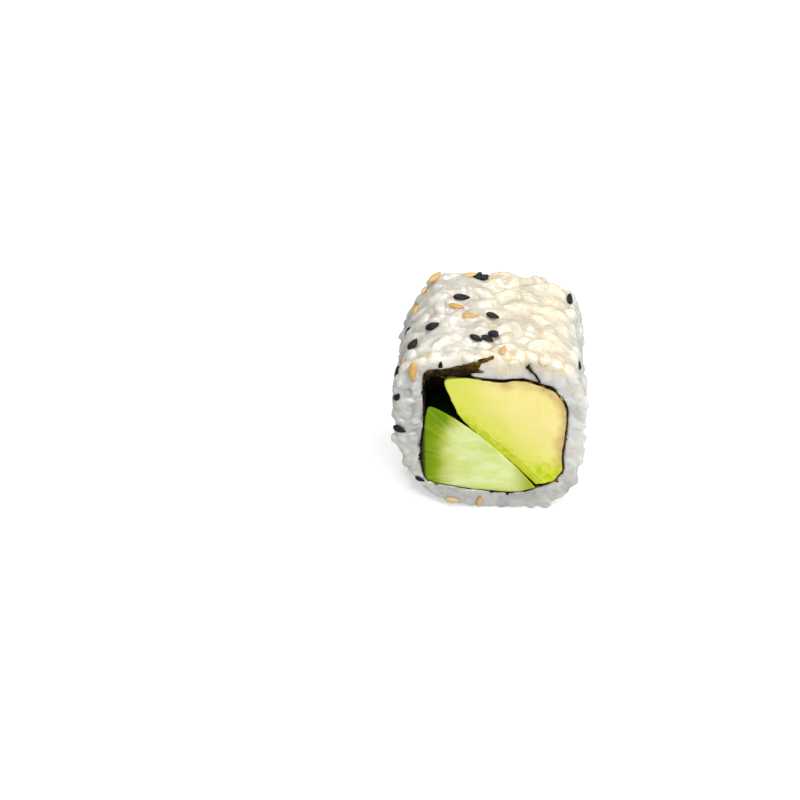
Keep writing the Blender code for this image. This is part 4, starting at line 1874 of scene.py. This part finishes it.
GOLDEN_SPOTS = [
    Spot(Facing.TOP, -6.6, 1.3, -5.0, 1.0, 0.1),
    Spot(Facing.TOP, 2.7, -14.1, 75.0, 0.75, 0.1),
    Spot(Facing.TOP, -4.0, 14.0, -10.0, 1.0, 0.25),
    Spot(Facing.TOP, 0.4, 13.2, -35.0, 0.8, 0.4),
    Spot(Facing.TOP, -11.0, 14.0, 60.0, 1.35, 0.2),
    Spot(Facing.TOP, -13.0, 12.4, 70.0, 0.95, 0.1),
    Spot(Facing.TOP, -14.7, 6.6, 78.0, 1.0, 0.1),
    Spot(Facing.TOP, -3.5, -1.3, 3.0, 1.25, 0.8),
    Spot(Facing.FRONT, -14.9, 33.7, 267.0, 1.12, 0.1),
    Spot(Facing.TOP, -11.8, -14.8, 80.0, 0.5, 0.3),
    Spot(Facing.FRONT, -7.4, 2.4, 4.0, 0.95, 0.15),
    Spot(Facing.FRONT, -2.0, 2.1, 80.0, 0.85, 0.15),
]


def scattered_spots(rng: np.random.Generator) -> dict[SeedKind, list[Spot]]:
    """The spots on the sides that no listed seed covers, kept apart whatever their kind.

    Args:
        rng: Where the places come from.

    Returns:
        Each kind's spots.
    """
    areas = {
        Facing.LEFT: ((-13.5, 3.5), (13.5, 31.5), 12, 14),
        Facing.RIGHT: ((-13.5, 5.0), (13.5, 26.0), 7, 8),
        Facing.BACK: ((-13.0, 1.9), (13.0, 2.9), 2, 3),
    }
    spots: dict[SeedKind, list[Spot]] = {kind: [] for kind in SeedKind}
    for facing, (low, high, black, golden) in areas.items():
        places = spread(black + golden, np.array(low), np.array(high), rng)
        kinds = rng.permutation([SeedKind.BLACK] * black + [SeedKind.GOLDEN] * golden)
        sunk = 0.65 if facing is Facing.RIGHT else 0.3
        for (first, second), kind in zip(places, kinds):
            turn = float(rng.uniform(0.0, 180.0)) * (0.15 if facing is Facing.BACK else 1.0)
            spots[kind].append(Spot(facing, float(first), float(second), turn, 1.0, sunk))
    return spots


# ---------------------------------------------------------------------------------------------------
# Studio
# ---------------------------------------------------------------------------------------------------


@dataclass
class Studio:
    """The pale floor, the soft lights and the camera."""

    floor_size: float = 6.0
    floor_seen: Colour = (0.95, 0.95, 0.95)  # its colour to the eye
    floor_bounce: Colour = (0.25, 0.25, 0.25)  # its colour for the light it sends on
    floor_glow: float = 0.30
    surround_low: float = 0.30  # the surround's strength at the horizon
    surround_high: float = 0.66  # and straight above
    target: tuple[float, float, float] = (0.4, -0.5, 18.7)
    distance: float = 500.0
    elevation: float = math.radians(34.0)
    pixels_per_mm: float = 4.93
    image_size: float = 800.0
    aim: tuple[float, float] = (491.5, 390.0)  # where the target lands in the image
    sensor: float = 36.0

    def floor(self) -> None:
        """Lay a large pale floor under the slice."""
        half = self.floor_size / 2.0 / MM
        points = np.array([[-half, -half, 0.0], [half, -half, 0.0], [half, half, 0.0], [-half, half, 0.0]])
        floor = new_mesh_object("floor", points, np.array([[0, 1, 2, 3]]))
        material = bpy.data.materials.new("pale floor")
        material.use_nodes = True
        board = NodeBoard(material.node_tree)
        shader = material.node_tree.nodes["Principled BSDF"]
        seen = board.add("LightPath").outputs["Is Camera Ray"]
        board.feed(shader.inputs["Base Color"], board.mix(seen, self.floor_bounce, self.floor_seen))
        shader.inputs["Roughness"].default_value = 0.9
        shader.inputs["Specular IOR Level"].default_value = 0.0
        shader.inputs["Emission Color"].default_value = (1.0, 1.0, 1.0, 1.0)
        shader.inputs["Emission Strength"].default_value = self.floor_glow
        floor.data.materials.append(material)

    def softbox(self, name: str, place: Colour, size: float, power: float, colour: Colour) -> None:
        """Hang a square soft light that looks at the slice.

        Args:
            name: The light's name.
            place: Where it hangs, in millimetres.
            size: Its width in millimetres.
            power: Its power in watts.
            colour: Its colour.
        """
        data = bpy.data.lights.new(name, "AREA")
        data.shape = "SQUARE"
        data.size = size * MM
        data.energy = power
        data.color = colour
        light = bpy.data.objects.new(name, data)
        light.location = Vector(place) * MM
        aim = Vector((0.0, 0.0, 18.0)) * MM - light.location
        light.rotation_euler = aim.to_track_quat("-Z", "Y").to_euler()
        bpy.context.scene.collection.objects.link(light)

    def lights(self) -> None:
        """A warm key above, a neutral fill in front, and an even white surround."""
        self.softbox("key", (260.0, 140.0, 590.0), 240.0, 0.76, (1.0, 0.86, 0.66))
        self.softbox("sparkle", (-20.0, 330.0, 540.0), 150.0, 0.5, (1.0, 0.98, 0.95))
        self.softbox("fill", (330.0, -540.0, 360.0), 400.0, 3.2, (0.95, 0.97, 1.0))
        self.softbox("glint", (-60.0, -330.0, 480.0), 45.0, 0.6, (1.0, 1.0, 1.0))
        world = bpy.data.worlds.new("studio")
        world.use_nodes = True
        board = NodeBoard(world.node_tree)
        surround = world.node_tree.nodes["Background"]
        surround.inputs["Color"].default_value = (1.0, 1.0, 1.0, 1.0)
        direction = board.add("TexCoord").outputs["Generated"]
        parts = board.add("SeparateXYZ")
        board.feed(parts.inputs[0], direction)
        height = board.add("MapRange", clamp=True)
        board.feed(height.inputs["Value"], parts.outputs["Z"])
        height.inputs["To Min"].default_value = self.surround_low
        height.inputs["To Max"].default_value = self.surround_high
        seen = board.add("LightPath").outputs["Is Camera Ray"]
        strength = board.maths("MAXIMUM", height.outputs["Result"], seen)
        board.feed(surround.inputs["Strength"], strength)
        bpy.context.scene.world = world
        bpy.context.scene.view_settings.view_transform = "Standard"

    def camera(self) -> None:
        """Stand the camera in front, looking down on the slice, turned aside so that the slice is right of centre."""
        focal = self.pixels_per_mm * self.distance
        target = Vector(self.target)
        back = Vector((0.0, -math.cos(self.elevation), math.sin(self.elevation)))
        forward = -back
        right = forward.cross(Vector((0.0, 0.0, 1.0))).normalized()
        up = right.cross(forward)
        yaw = math.atan((self.aim[0] - self.image_size / 2.0) / focal)
        pitch = math.atan((self.aim[1] - self.image_size / 2.0) / focal)
        forward = forward * math.cos(yaw) - right * math.sin(yaw)
        right = forward.cross(up)
        forward, up = forward * math.cos(pitch) + up * math.sin(pitch), up * math.cos(pitch) - forward * math.sin(pitch)
        data = bpy.data.cameras.new("camera")
        data.sensor_width = self.sensor
        data.lens = focal / self.image_size * self.sensor
        data.clip_start, data.clip_end = 0.01, 20.0
        camera = bpy.data.objects.new("camera", data)
        camera.rotation_euler = Matrix((right, up, -forward)).transposed().to_euler()
        camera.location = (target + back * self.distance) * MM
        bpy.context.scene.collection.objects.link(camera)
        bpy.context.scene.camera = camera


# ---------------------------------------------------------------------------------------------------
# The slice
# ---------------------------------------------------------------------------------------------------


def dress(piece: bpy.types.Object, material: bpy.types.Material, slot: str, *nodes: str) -> None:
    """Give a piece its material and its body, and hide the solids it replaces.

    Args:
        piece: The finished piece.
        material: Its material.
        slot: Not used.
        *nodes: The names of the solids it replaces.
    """
    piece.data.materials.clear()
    piece.data.materials.append(material)
    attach(piece, BODY)
    if nodes:
        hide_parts(*nodes)
    log.info("%s: %d faces", piece.name, len(piece.data.polygons))


def main() -> None:
    """Build the slice and its studio."""
    logging.basicConfig(level=logging.INFO, format="%(name)s %(message)s")
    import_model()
    low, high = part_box("rice")
    width, depth, height = ((high[k] - low[k]) / MM for k in range(3))
    shape = RollShape(width, depth, height)
    mottle = MottleGroup()

    studio = Studio()
    studio.floor()
    studio.lights()
    studio.camera()

    sheet = NoriSheet(shape)
    flap_middle = tuple(
        ((a[0] + b[0]) / 2.0, (a[1] + b[1]) / 2.0) for a, b in zip(sheet.flap_top, sheet.flap_bottom)
    )
    trenches = (
        Trench(flap_middle[:-2], 0.75, 0.7),
        Trench(flap_middle[-4:], 0.45, 0.9),
        Trench(sheet.prong, 0.5, 0.5),
        Trench(sheet.tooth, 0.5, 0.3),
        Trench(sheet.sliver, 0.35, 0.3),
    )
    rice = RiceWall(shape, trenches).build("rice_wall")
    rice_finish = RiceFinish("moist rice", 0.95, 2.2, (1.0, 0.88, 0.70), 0.75, specular=0.75)
    dress(rice, rice_finish.material(mottle), "rice", "rice")

    nori = sheet.build("nori_sheet")
    nori_finish = NoriFinish("moist nori", 0.0, 0.2, (1.0, 0.8, 0.3), 0.05, roughness=0.34, specular=0.06)
    dress(nori, nori_finish.material(mottle), "nori", "nori")

    avocado = AvocadoStrip(shape).build("avocado_strip")
    avocado_finish = AvocadoFinish("avocado flesh", 0.3, 1.0, (1.0, 0.8, 0.3), 0.03, roughness=0.42, specular=0.2)
    dress(avocado, avocado_finish.material(mottle), "avocado", "avocado")

    cucumber = CucumberStrip(shape).build("cucumber_strip")
    cucumber_finish = CucumberFinish("cucumber flesh", 0.3, 1.0, (0.7, 1.0, 0.3), 0.03, roughness=0.32, specular=0.15)
    dress(cucumber, cucumber_finish.material(mottle), "cucumber", "cucumber")

    surface = BVHTree.FromObject(rice, bpy.context.evaluated_depsgraph_get())
    scattered = scattered_spots(np.random.default_rng(67))
    black = SesameSeeds(SeedKind.BLACK, BLACK_SPOTS + scattered[SeedKind.BLACK])
    black_finish = SeedFinish(
        "black sesame",
        0.0,
        0.1,
        (1.0, 1.0, 1.0),
        0.1,
        0.34,
        0.2,
        hull=(0.005, 0.005, 0.006),
        lit=(0.014, 0.014, 0.017),
        tip=(0.004, 0.004, 0.005),
    )
    dress(black.build(surface), black_finish.material(mottle), "sesame_black")
    golden_spots = GOLDEN_SPOTS + scattered[SeedKind.GOLDEN]
    golden = SesameSeeds(SeedKind.GOLDEN, golden_spots, length=3.7, width=1.55, seed=59)
    golden_finish = SeedFinish(
        "golden sesame",
        0.2,
        0.5,
        (1.0, 0.7, 0.3),
        0.1,
        0.4,
        0.3,
        hull=(0.62, 0.35, 0.08),
        lit=(0.80, 0.60, 0.30),
        tip=(0.30, 0.12, 0.02),
    )
    dress(golden.build(surface), golden_finish.material(mottle), "sesame_golden")


if __name__ == "__main__":
    main()
